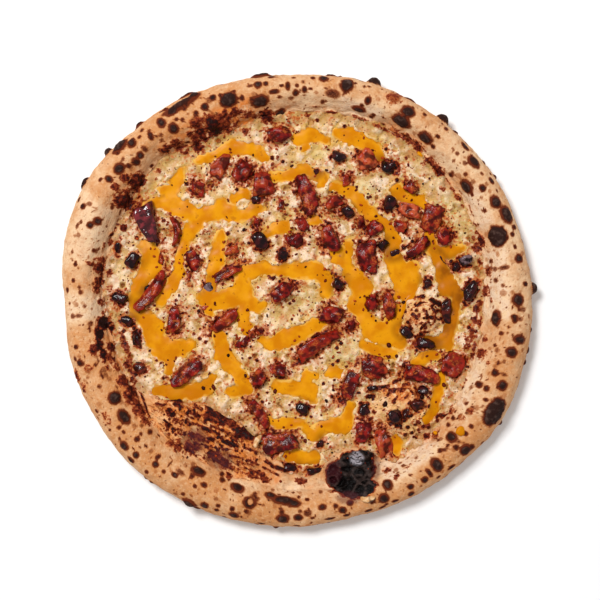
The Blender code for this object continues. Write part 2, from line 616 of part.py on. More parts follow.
def make_filling():
    """The cheese, the sauce and every piece that lies on them."""
    cheese = material("cheese", CHEESE_COLOUR, 0.55)
    sauce = material("yolk_sauce", SAUCE_COLOUR, 0.25)
    bacon = material("bacon", BACON_COLOUR, 0.35)
    truffle = material("truffle", TRUFFLE_COLOUR, 0.3)
    rows = BACON + TRUFFLE
    pockets = [piece_ring(row, number, 0.5, corners_of(row)) for number, row in enumerate(rows)]
    levels = [min(cheese_height(x, y) for x, y in ring) - 0.3 for ring in pockets]
    top = cheese_mesh(seam(0.75), pockets, levels)
    depth = cut_along_sauce(top)
    top.verts.index_update()
    top.faces.index_update()
    for number, pool in enumerate(sauce_pools(top, depth, pockets)):
        make_sauce("yolk_%02d" % (number + 1), pool, depth, sauce)
    make_cheese(top, cheese)
    top.free()
    for number, row in enumerate(rows):
        if number < len(BACON):
            make_piece("bacon_%02d" % (number + 1), row, number, levels[number], bacon)
        else:
            make_piece("truffle_%02d" % (number + 1 - len(BACON)), row, number, levels[number], truffle)


def main():
    for old in list(bpy.data.objects):
        bpy.data.objects.remove(old, do_unlink=True)
    make_crust()
    make_filling()
    for made in bpy.context.scene.objects:
        made.data.shade_smooth()
        made.data.set_sharp_from_angle(angle=math.radians(50))
        print(made.name, len(made.data.polygons))


main()
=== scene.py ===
# %% [markdown]
# # A blistered pizza with egg yolk, cured pork and truffle
#
# A whole pizza straight from a very hot oven: a tall rim with leopard spots, a bubbly cheese
# cream, swirls of egg yolk sauce, crisp pork and shiny dark truffle. The solids that stand for
# its parts come from elsewhere. This script gives them the surface that an oven gives.
#
# The solids are loaded first. They stay where they are: a finer piece replaces each of them.

# %% Load the solids
import math
import random

import bpy
import numpy as np
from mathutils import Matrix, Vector, noise
from mathutils.bvhtree import BVHTree


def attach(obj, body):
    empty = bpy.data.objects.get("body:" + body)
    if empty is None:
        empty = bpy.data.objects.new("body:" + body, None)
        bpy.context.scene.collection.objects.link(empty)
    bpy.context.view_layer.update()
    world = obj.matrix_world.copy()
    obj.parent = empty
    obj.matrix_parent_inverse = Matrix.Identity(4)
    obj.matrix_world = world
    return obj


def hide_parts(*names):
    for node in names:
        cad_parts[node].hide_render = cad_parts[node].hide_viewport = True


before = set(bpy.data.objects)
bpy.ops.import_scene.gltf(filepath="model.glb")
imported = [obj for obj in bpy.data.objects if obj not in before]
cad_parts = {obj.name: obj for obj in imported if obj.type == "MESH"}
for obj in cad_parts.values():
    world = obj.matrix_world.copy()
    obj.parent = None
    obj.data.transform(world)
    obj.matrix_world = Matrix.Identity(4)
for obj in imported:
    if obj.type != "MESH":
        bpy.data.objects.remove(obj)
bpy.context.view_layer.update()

MM = 0.001
SHIFT = np.array([1.0, 0.35, 0.0])       # from the drawing's middle to the box's middle, mm

# %% [markdown]
# ## The form of the rim
#
# A baker pushes the air of the dough to its edge, so the rim swells in the oven and the middle
# stays thin. A section through it is a fat bean: flat below, round outside, sloping in.
# No two bearings have the same section, so a table gives the outer radius, the inner radius
# and the height every 15 degrees, and a smooth curve runs through the table.
# A bearing is an angle clockwise from +Y, as on a compass. All lengths are millimetres.

# %% The rim's table and the places where it reaches in
FLOOR_TOP = 3.0
SEAM_TOP = 6.8
SEAM_RUN = 2.2
BELLY = 9.5                 # the height at which the rim is widest
CREST_SHARE = 0.46          # where its top lies between the outer edge and the foot
FLAT_EDGE = 13.0            # the flat underside ends this far in from the outer edge,
CURL_EDGE = 7.0             # and here it has risen a little
CURL_RISE = 0.9
SHELF_RISE = 2.0            # the inner slope ends this far over the seam
LINING = 8.0                # the sheet ends this far inside the seam, and a fan closes the floor
RIM_STEP = 15.0
RIM = [
    (144, 121, 20), (146, 122, 21), (146, 123, 21.5), (146, 121, 20.5), (147, 121, 20), (147, 120, 21),
    (148.5, 118, 22), (149, 116.5, 22.5), (150, 117, 22), (147, 120, 20.5), (145, 119, 21), (143, 119, 20),
    (144.5, 118, 19.5), (146.5, 118, 21), (148.5, 118, 22), (151, 120, 22.5), (151, 119, 22),
    (151.5, 121, 21.5), (150.5, 125, 20.5), (155.5, 126, 22), (156, 125, 23), (152, 126, 22),
    (149.5, 118, 22.5), (145.5, 118, 21.5),
]
FLAP = [
    (149.5, 0), (153, 6), (156, 14), (160, 19), (166, 19.5), (170, 15), (174, 7), (178, 4), (183, 7),
    (188, 15), (194, 17), (199, 26), (206, 30), (216, 30), (223, 29), (229, 21), (235, 9), (241, 0),
]
FLAP_HEIGHT = 10.5
FULL_REACH = 12.0           # a fold that reaches in this far has its full height
print("rim rows", len(RIM), "places where it reaches in", len(FLAP))


# %% Read the tables, and lay out the sections
def ease(low, high, value):
    """Runs smoothly from 0 at low to 1 at high."""
    part = np.clip((value - low) / (high - low), 0.0, 1.0)
    return part * part * (3.0 - 2.0 * part)


def read_table(column, bearing):
    """One column of the rim's table as a smooth closed curve."""
    values = np.array([row[column] for row in RIM])
    place = (bearing % 360.0) / RIM_STEP
    first = place.astype(int)
    part = place - first
    before, start, end, after = (values[(first + step) % len(RIM)] for step in (-1, 0, 1, 2))
    bend = 2 * before - 5 * start + 4 * end - after
    twist = 3 * (start - end) + after - before
    return start + 0.5 * part * (end - before + part * (bend + part * twist))


def flap_reach(bearing):
    """How far the rim reaches in over the filling."""
    reach = np.zeros_like(bearing)
    for (start, low), (end, high) in zip(FLAP, FLAP[1:]):
        here = (bearing >= start) & (bearing < end)
        part = (bearing[here] - start) / (end - start)
        reach[here] = low + (high - low) * part * part * (3 - 2 * part)
    return reach


def seam_radius(bearing):
    """The radius where cheese and rim meet."""
    return read_table(1, bearing) - flap_reach(bearing)


def inside_seam(flat):
    """How far inside that seam each point of the drawing lies."""
    bearing = np.degrees(np.arctan2(flat[:, 0], flat[:, 1])) % 360.0
    return seam_radius(bearing) - np.hypot(flat[:, 0], flat[:, 1])


def rim_sections(bearing):
    """Every section as rows of (radius, height): from the flat underside, out, over and in."""
    outer, foot, high = (read_table(column, bearing) for column in range(3))
    reach = flap_reach(bearing)
    inner = foot - reach
    crest = outer - CREST_SHARE * (outer - foot)
    rows = [(outer - FLAT_EDGE, 0.0), (outer - CURL_EDGE, CURL_RISE)]
    for angle in (-42, -16, 4, 24, 43, 62, 79):
        turn = math.radians(angle)
        up = high - BELLY if angle > 0 else BELLY
        rows.append((crest + (outer - crest) * math.cos(turn) ** 0.85,
                     BELLY + up * math.copysign(abs(math.sin(turn)) ** 0.92, turn)))
    ledge = SEAM_TOP + SHELF_RISE
    shelf = ledge + (FLAP_HEIGHT - ledge) * np.minimum(1.0, reach / FULL_REACH)
    for share in (0.0, 0.32, 0.6, 0.84):
        low = shelf + (high - shelf) * math.cos(share * math.pi / 2) ** 0.9
        rows.append((crest + (foot + 1.6 - crest) * share, low if share else high))
    rows.append((foot + 2.2, shelf + 0.05 * (high - ledge)))
    rows.append((inner + 1.4 + 0.5 * reach, shelf - 0.3))
    rows.append((inner + 0.6 + 0.05 * reach, SEAM_TOP + 0.45 * (shelf - SEAM_TOP) + 0.03 * reach))
    rows.append((inner, SEAM_TOP))
    rows.append((inner - SEAM_RUN, FLOOR_TOP))
    rows.append((inner - SEAM_RUN - LINING, FLOOR_TOP))
    return np.stack([np.stack(np.broadcast_arrays(*row), axis=-1) for row in rows], axis=1)


VIEW_WIDTH = 384.0          # how much the lens takes in at the height of the belly
LENS = 100.0
SENSOR = 36.0
EYE_FAR = VIEW_WIDTH * LENS / SENSOR


def seen_from_above(points):
    """Where points lie in a picture taken from above: what stands higher looks farther out."""
    return points[..., :2] * (1.0 + (points[..., 2:] - BELLY) / EYE_FAR)


all_round = seam_radius(np.arange(360.0))
print("seam radius from", all_round.min(), "to", all_round.max())

# %% [markdown]
# ## From a flat sheet to a ring of dough
#
# The rim could be one long sweep of a curve, but its section changes all the way round. So it
# is rolled up as a baker rolls a strip: a flat grid gets one column for each bearing and one
# row for each point of the section, and every corner is then carried to its place.
# The first and last columns meet, so they are merged, and the two round holes are filled.

# %% Small helpers for every piece
def select_nothing():
    """Operators work on all that is selected, so nothing is left selected."""
    if bpy.context.object and bpy.context.object.mode != "OBJECT":
        bpy.ops.object.mode_set(mode="OBJECT")
    bpy.ops.object.select_all(action="DESELECT")


def sheet(name, columns, rows, size):
    """A flat grid of that many faces, its side given in millimetres."""
    select_nothing()
    bpy.ops.mesh.primitive_grid_add(x_subdivisions=columns, y_subdivisions=rows, size=size * MM)
    made = bpy.context.object
    made.name = made.data.name = name
    return made


def from_middle(flat, x, y, half_x=1.0, half_y=1.0):
    """The distance to a point; with half widths, 1 all round an oval with its middle there."""
    return np.hypot((flat[..., 0] - x) / half_x, (flat[..., 1] - y) / half_y)


def corners(made):
    """The corners of a piece as an array, in metres."""
    flat = np.zeros(3 * len(made.data.vertices))
    made.data.vertices.foreach_get("co", flat)
    return flat.reshape(-1, 3)


def place_corners(made, points):
    """Carries every corner to a point of the drawing, in millimetres."""
    made.data.vertices.foreach_set("co", ((points + SHIFT) * MM).ravel())
    made.data.update()


def store(made, **fields):
    """Keeps numbers with the corners, for the finish to read."""
    for name, values in fields.items():
        kept = made.data.attributes.new(name, "FLOAT", "POINT")
        kept.data.foreach_set("value", np.clip(values, -1.0, 1.0).astype(np.float32).ravel())


def clouds(points, size, seed=0.0):
    """Soft noise from -1 to 1 with clumps of about that many millimetres."""
    step = 1.0 / size
    return np.array([noise.noise(Vector((x * step + seed, y * step - seed, z * step)))
                     for x, y, z in points.reshape(-1, 3)]).reshape(points.shape[:-1])


def cells(points, size, seed=0.0):
    """Distance to the nearest of many scattered points: 0 at each, near 1 half way between."""
    step = 1.0 / size
    return np.array([noise.voronoi(Vector((x * step + seed, y * step, z * step)))[0][0]
                     for x, y, z in points.reshape(-1, 3)]).reshape(points.shape[:-1])


def close_up(made):
    """Merges what meets, fills every hole with a fan and turns all faces outwards."""
    select_nothing()
    made.select_set(True)
    bpy.context.view_layer.objects.active = made
    bpy.ops.object.mode_set(mode="EDIT")
    bpy.ops.mesh.select_all(action="SELECT")
    bpy.ops.mesh.remove_doubles(threshold=0.000001)
    bpy.ops.mesh.fill_holes(sides=0)
    bpy.ops.object.mode_set(mode="OBJECT")
    bpy.ops.object.mode_set(mode="EDIT")
    bpy.ops.mesh.select_mode(type="FACE")
    bpy.ops.mesh.select_all(action="DESELECT")
    bpy.ops.mesh.select_face_by_sides(number=4, type="GREATER")
    bpy.ops.mesh.poke()
    bpy.ops.mesh.select_all(action="SELECT")
    bpy.ops.mesh.normals_make_consistent(inside=False)
    bpy.ops.object.mode_set(mode="OBJECT")
    bpy.ops.object.shade_smooth()
    made.select_set(False)


# %% Read the sections more finely
COLUMNS = 880
# How many steps each stretch of a section gets: most where the skin folds over the filling
STEPS = (2, 2, 4, 6, 6, 6, 6, 5, 5, 4, 5, 5, 5, 20, 18, 5, 3, 2)
# Places along a section, counted in its points
SPOTTED = (2.6, 15.5)
TOP_SIDE = (5.0, 15.9)
CREST = 9.0
FOLD = 14.0
LUMP_SIZE = 1 / 0.045
DENT_SIZE = 1 / 0.13
bearings = 360.0 * np.arange(COLUMNS) / COLUMNS


def fine_sections(coarse):
    """A smooth curve through the points of each section, and each new point's place along it."""
    fine, place = [], []
    last = coarse.shape[1] - 1
    for step, count in enumerate(STEPS):
        before, start = coarse[:, max(step - 1, 0)], coarse[:, step]
        end, after = coarse[:, step + 1], coarse[:, min(step + 2, last)]
        lengths = [np.linalg.norm(second - first, axis=1, keepdims=True) + 0.001
                   for first, second in ((before, start), (start, end), (end, after))]
        leave = (end - before) / (lengths[0] + lengths[1]) * lengths[1]
        arrive = (after - start) / (lengths[1] + lengths[2]) * lengths[1]
        for part in np.arange(count) / count:
            square, cube = part ** 2, part ** 3
            fine.append((2 * cube - 3 * square + 1) * start + (cube - 2 * square + part) * leave
                        + (3 * square - 2 * cube) * end + (cube - square) * arrive)
            place.append(step + part)
    fine.append(coarse[:, last])
    place.append(last)
    return np.stack(fine, axis=1), np.array(place)


section, along = fine_sections(rim_sections(bearings))
turns = np.radians(bearings)[:, None]
section[:, :, 1] = np.maximum(section[:, :, 1], 0.0)
spread, heights = section[:, :, 0], section[:, :, 1]
rim = np.stack([spread * np.sin(turns), spread * np.cos(turns), heights], axis=-1)
push = 1.1 * clouds(rim, LUMP_SIZE) + 0.7 * clouds(rim + np.array([7.0, 3.0, 1.0]) * DENT_SIZE, DENT_SIZE)
sideways = 0.5 * push * (1.0 - ease(5.0, 6.0, along)) * ease(1.5, 2.5, along)
upwards = push * np.clip((along - 4.0) / 3.0, 0.0, 1.0) * (1.0 - ease(15.0, 16.0, along))
rim += np.stack([sideways * np.sin(turns), sideways * np.cos(turns), upwards], axis=-1)
print("rim points", rim.shape, "height", rim[:, :, 2].max())


# %% Which way is out
def outward(points):
    """The direction out of the dough at every point of the ring."""
    round_way = np.roll(points, -1, axis=0) - np.roll(points, 1, axis=0)
    over_way = np.gradient(points, axis=1)
    out = np.cross(round_way, over_way)
    out /= np.linalg.norm(out, axis=2, keepdims=True) + 1e-9
    crest = np.argmin(np.abs(along - CREST))
    return out * np.sign(out[:, crest, 2].mean())


out = outward(rim)
radius = np.hypot(rim[:, :, 0], rim[:, :, 1])

# %% [markdown]
# ## Blisters, and the spots that burn on them
#
# Steam lifts small bubbles in the skin of the dough. They stand nearest the heat, so each one
# burns black on top and brown round its foot. Painted dots would look flat from the side, so
# every spot does two things: it lifts the skin, and it writes how burnt and how brown the skin
# is. The blisters and the larger spots are listed one by one, and the fine flecks are drawn at
# random. A few blisters have burst, so their middles are pale and a little sunken. Places are
# those seen from above.

# %% The blisters and the smaller spots
# bearing, radius, size along the rim, size across it, rise
BLISTERS = [
    (12.2, 141, 8.4, 9, 1.8), (18.9, 148, 9.6, 7, 4.2), (30, 139, 9, 7, 1.6), (29.3, 131.5, 12.6, 8.6, 2.2),
    (17.2, 128, 8, 5.5, 1.4), (37.5, 131, 10, 7.4, 1.8), (38.5, 148, 9, 6.5, 4.4), (51.5, 142, 8.6, 6, 1.6),
    (55.5, 128.8, 9.6, 7.4, 1.8), (63.3, 139.8, 8, 6.4, 1.5), (67.7, 143, 11.5, 8, 1.8),
    (72, 132.6, 14, 12.5, 2.6), (87.2, 150, 8.4, 6, 3.6), (90, 139.5, 7.6, 7.4, 1.6),
    (95.5, 126, 9.6, 7, 1.8), (100.3, 142.5, 5.6, 7.4, 1.4), (104, 139.5, 6.4, 7, 1.5),
    (113, 141, 6.4, 6, 1.3), (119.7, 143.6, 20, 12.5, 2.6), (132, 143, 7.4, 6.6, 1.6),
    (132.3, 131, 6.4, 7.4, 1.6), (140.3, 137.2, 6.8, 9, 1.7), (157.2, 137.6, 6.4, 6.2, 1.4),
    (154.5, 130.8, 6, 6.6, 1.4), (184.6, 128.8, 15, 5.4, 1.5), (181.8, 130.2, 8, 4.4, 1.2),
    (188.6, 126.4, 6.6, 4.4, 1.2), (193.9, 133.2, 8.4, 7.2, 1.5), (184.3, 140.6, 7.4, 5.6, 1.4),
    (198.6, 127, 8.4, 6.4, 1.6), (208.8, 147.6, 9.4, 6.6, 2.4), (210.7, 127.8, 9.4, 6.6, 1.5),
    (236.5, 135.5, 10, 6.8, 1.8), (242.2, 134.3, 8.4, 8.4, 1.8), (298.6, 156.5, 9.4, 6.4, 2.8),
    (307.6, 157.5, 7, 5, 3.2), (310.7, 151.6, 11.5, 7.4, 2), (317.3, 151.6, 7, 5, 2.2),
    (305.8, 143, 7.4, 6.4, 1.6), (299.6, 130, 8, 9, 1.7), (306.4, 130, 7.5, 8, 1.7),
    (340.2, 135.8, 11.4, 9.4, 2.2), (348.4, 130.2, 11.4, 7.6, 2), (333.6, 125.6, 8.5, 9, 1.8),
    (328.8, 131.6, 4, 6, 1.3), (353.7, 118.6, 7.6, 8.6, 1.8), (350.2, 147, 13, 5, 2.4),
    (331, 150, 11, 5, 1.4), (323.6, 136.2, 6.2, 6.6, 1.4),
]
# bearing, radius, size along, size across, how burnt
SPOTS = [
    (6.3, 142.5, 5.4, 5, 1), (18.7, 134.5, 4, 5, 1), (9, 134, 8.6, 5, .6), (1.3, 135, 3, 4, .9),
    (3.3, 142.5, 2.5, 2.5, .9), (7.5, 147, 4, 3, 1), (38.3, 124, 4, 3, .8), (28.7, 146, 10, 3, .8),
    (25, 143, 7, 6, .6), (47.2, 144.3, 6, 3.5, 1), (58, 144.3, 4.5, 3, 1), (58.3, 136.8, 4.5, 4, 1),
    (57.7, 147.5, 3, 3, 1), (42.7, 147, 3, 2.5, 1), (53, 146.8, 3, 2.5, 1), (79.3, 142.5, 5, 5, 1),
    (72.8, 142.3, 3, 3, .9), (76, 142, 3, 2, .8), (92.5, 148, 5, 2.5, 1), (85.8, 144.5, 3, 3.5, 1),
    (81, 133, 3, 6, .6), (81, 121.5, 6, 4, .5), (94.7, 137.5, 3, 4, .9), (97.5, 149, 3, 2.5, 1),
    (102.3, 150.3, 3, 2.5, 1), (105.7, 150, 3, 2.5, 1), (110.5, 132.8, 4.5, 4, 1), (110, 139, 2, 5, .6),
    (106.5, 121, 5, 5, .6), (115.5, 132, 3.5, 4, .9), (115.5, 127, 4, 5, .8), (118.2, 135.5, 2.5, 3, .9),
    (137.8, 144.3, 5, 2.5, 1), (143, 138.5, 3, 6, .9), (145.2, 140, 4.3, 4, 1), (150.2, 143, 4, 3.5, 1),
    (149.2, 138.5, 4, 3.5, 1), (154.5, 142.3, 4, 2.5, 1), (158.5, 142.8, 4, 2.5, .9),
    (141.8, 144, 3, 2, .9), (126.3, 136, 3, 3, .7), (128.8, 136, 3, 3, .8), (123.5, 129, 4, 3, .5),
    (126, 127, 4, 3, .5), (162, 141.5, 4.5, 2.5, 1), (167.7, 140.8, 4, 2, 1), (168.7, 137.3, 5, 4, 1),
    (166.2, 133.7, 4, 3.5, .9), (170.2, 133.5, 3, 3, .8), (172.3, 141.5, 6, 2, 1),
    (173.7, 133.5, 5, 3.5, .9), (177.8, 136.3, 5, 4, .6), (177.8, 128, 3, 2.5, .8), (180.4, 139, 5.5, 4, 1),
    (186.3, 146, 4, 3, 1), (185.3, 134, 3, 2, .6), (180.7, 144.5, 4, 2, 1), (190, 145.3, 4, 2, 1),
    (197, 144, 6, 4, 1), (198, 140.5, 3, 3, .8), (201.5, 144.5, 3, 2.5, 1), (201.5, 142, 3, 2.5, .8),
    (204.8, 145, 5, 5, 1), (207.5, 133, 4, 3, .9), (211.3, 132, 3, 3, .8), (209.3, 136.5, 2.5, 2.5, .8),
    (215.6, 138, 4, 3, 1), (214.7, 134.7, 6, 3, .6), (218.5, 133, 1.5, 5, .7), (219.8, 123, 5, 4, .8),
    (222.3, 124.3, 4.5, 4, .7), (221.2, 139.8, 4, 4, 1), (222, 135, 3, 4, .8), (219.2, 150.5, 3, 2.5, 1),
    (221, 150.6, 3, 2.5, 1), (226.8, 148.8, 5, 3, 1), (226.7, 144, 4, 4, 1), (230.3, 146, 6, 4.5, 1),
    (229.7, 137, 3.5, 3.5, .9), (254, 146, 4, 4, .9), (252.5, 137.3, 2.5, 2.5, .7), (251.5, 143, 4, 3, .5),
    (258.3, 146.3, 3, 3, .8), (250.5, 133.5, 4, 4, .5), (252, 151.5, 6, 1.5, .8), (266, 142, 2, 5, .6),
    (275, 145.5, 2.5, 2.5, .8), (262.3, 136, 2, 2, .8), (291.4, 139, 5, 5.5, 1), (289.5, 143, 4, 4, 1),
    (293.2, 151.5, 3.5, 3.5, 1), (288.3, 150.5, 4, 2, .6), (294.7, 155.5, 4, 2, 1), (303.3, 155, 4, 1.5, 1),
    (302.3, 144.7, 4, 5, 1), (301, 149, 3, 2, .8), (312.8, 147, 5.5, 5, 1), (310, 137.5, 4, 6, .9),
    (312, 138.2, 4.5, 4.5, 1), (308.2, 139, 3, 3.5, .8), (314.2, 138.5, 3.5, 5, .6), (318, 142.5, 3, 4, .9),
    (322, 143.8, 5, 6.5, 1), (324.7, 149.5, 3, 3, .9), (338.3, 145.5, 5, 3, 1), (336.5, 141, 4, 4, 1),
    (331, 137, 3, 3, .8), (334, 138, 4.5, 4.5, 1), (349, 140.5, 5, 4.5, 1), (351, 140.2, 3, 3, .9),
    (351, 145, 4, 3, 1), (349.5, 146.5, 12, 3, .6), (358.8, 133, 3.5, 4, .9), (356.7, 137.5, 3, 5, .8),
    (353, 134.5, 6, 3, .8), (344.2, 134, 2.5, 4, .8), (353.7, 145.5, 3, 1.5, .9), (355.5, 145, 3, 1.5, .9),
    (330.5, 150.6, 4, 3, 1), (328.6, 146.4, 22, 6, .9), (326, 145.5, 9, 5, 1), (332.5, 147, 8, 5, 1),
    (8, 147.4, 6, 3, 1), (10.3, 147.4, 2.5, 2, 1), (57.6, 148, 3.5, 3, 1), (43, 147.4, 4, 3, 1),
    (102.5, 151, 4, 3, 1), (105.6, 151, 4, 3, 1), (206.4, 149.6, 6, 3, .7), (121.4, 150.6, 4, 3, 1),
    (317.6, 141, 3, 4, .8), (325.6, 140, 2.5, 2.5, .7), (327, 137.8, 2.5, 3, .7), (329, 143, 3, 3, .7),
    (352.5, 143.6, 4, 3, .9), (355, 138, 3, 2, .8), (347, 140.6, 4, 2, .6), (343.6, 134, 2, 3, .7),
]

# %% Lift the skin and write the burns
burn = np.zeros(radius.shape)
toast = np.zeros(radius.shape)
lift = np.zeros(radius.shape)
ragged = 0.16 * clouds(rim, 2.2, 3.0) + 0.10 * clouds(rim, 1.1, 8.0)
seen = seen_from_above(rim)
seen_radius = np.hypot(seen[:, :, 0], seen[:, :, 1])
COLUMN_WIDTH = 0.72         # the least width of a column on the rim
TALL_BLISTER = 2.7          # a dome that rises higher than this burns with a firm edge
FIRM_SPOT = 6.0             # a spot wider than this has a firmer edge than a small one
OUTER_SIDE = 146.0          # spots beyond this radius break the outline, so they rise more


def spot(bearing, far, wide, deep, rise, burnt):
    """One spot: a low dome in the skin, black in the middle and brown round its foot."""
    column = int(round(bearing / 360.0 * COLUMNS)) % COLUMNS
    upper = np.flatnonzero((along >= SPOTTED[0]) & (along < SPOTTED[1]))
    row = upper[np.abs(seen_radius[column, upper] - far).argmin()]
    reach = int(1.5 * max(wide, deep) / COLUMN_WIDTH) + 4
    near = np.arange(column - reach, column + reach + 1) % COLUMNS
    up = out[column, row]
    side = np.array([math.cos(math.radians(bearing)), -math.sin(math.radians(bearing)), 0.0])
    away = rim[near][:, upper] - rim[column, row]
    size = np.sqrt((away @ side / (0.5 * wide)) ** 2 + (away @ np.cross(up, side) / (0.5 * deep)) ** 2)
    size += ragged[near][:, upper] + np.maximum(0.0, np.abs(away @ up) - 3.0)
    here = np.ix_(near, upper)
    lift[here] = np.maximum(lift[here], rise * np.maximum(0.0, 1.0 - size * size) ** 0.75)
    soft = 0.2 if rise > TALL_BLISTER else min(1.0, FIRM_SPOT / min(wide, deep))
    black = burnt * (1.0 - ease(1.0 - 0.5 * soft, 1.1, size))
    brown = min(1.0, burnt + 0.15) * (1.0 - ease(0.85, 1.0 + 0.6 * soft, size))
    burn[here] = np.maximum(burn[here], black)
    toast[here] = np.maximum(toast[here], brown)


for bearing, far, wide, deep, rise in BLISTERS:
    spot(bearing, far, wide, deep, rise, 1.0)
for bearing, far, wide, deep, burnt in SPOTS:
    steepness = 0.13 if far < OUTER_SIDE else 0.4
    spot(bearing, far, wide, deep, steepness * min(wide, deep), burnt)
draw = random.Random(21)
FLECKS = 1200
# x, y and radius of the pale middles of burst blisters
BURST = [(-31.9, -129.2, 2.4), (-47, -122.6, 1.1), (96, -104, 1)]
for _ in range(FLECKS):
    wide = 1.1 + 2.4 * draw.random() ** 2
    spot(draw.uniform(0, 360), draw.uniform(122, 151), wide, wide * draw.uniform(0.6, 1.3), 0.08,
         draw.uniform(0.15, 0.85))
for x, y, reach in BURST:
    bare = 1.0 - ease(0.6 * reach, reach, from_middle(seen, x, y))
    burn *= 1.0 - bare
    toast *= 1.0 - 0.8 * bare
    lift -= 0.9 * bare
print("spots", len(BLISTERS) + len(SPOTS) + FLECKS, "burnt share", round(float((burn > 0.5).mean()), 3))
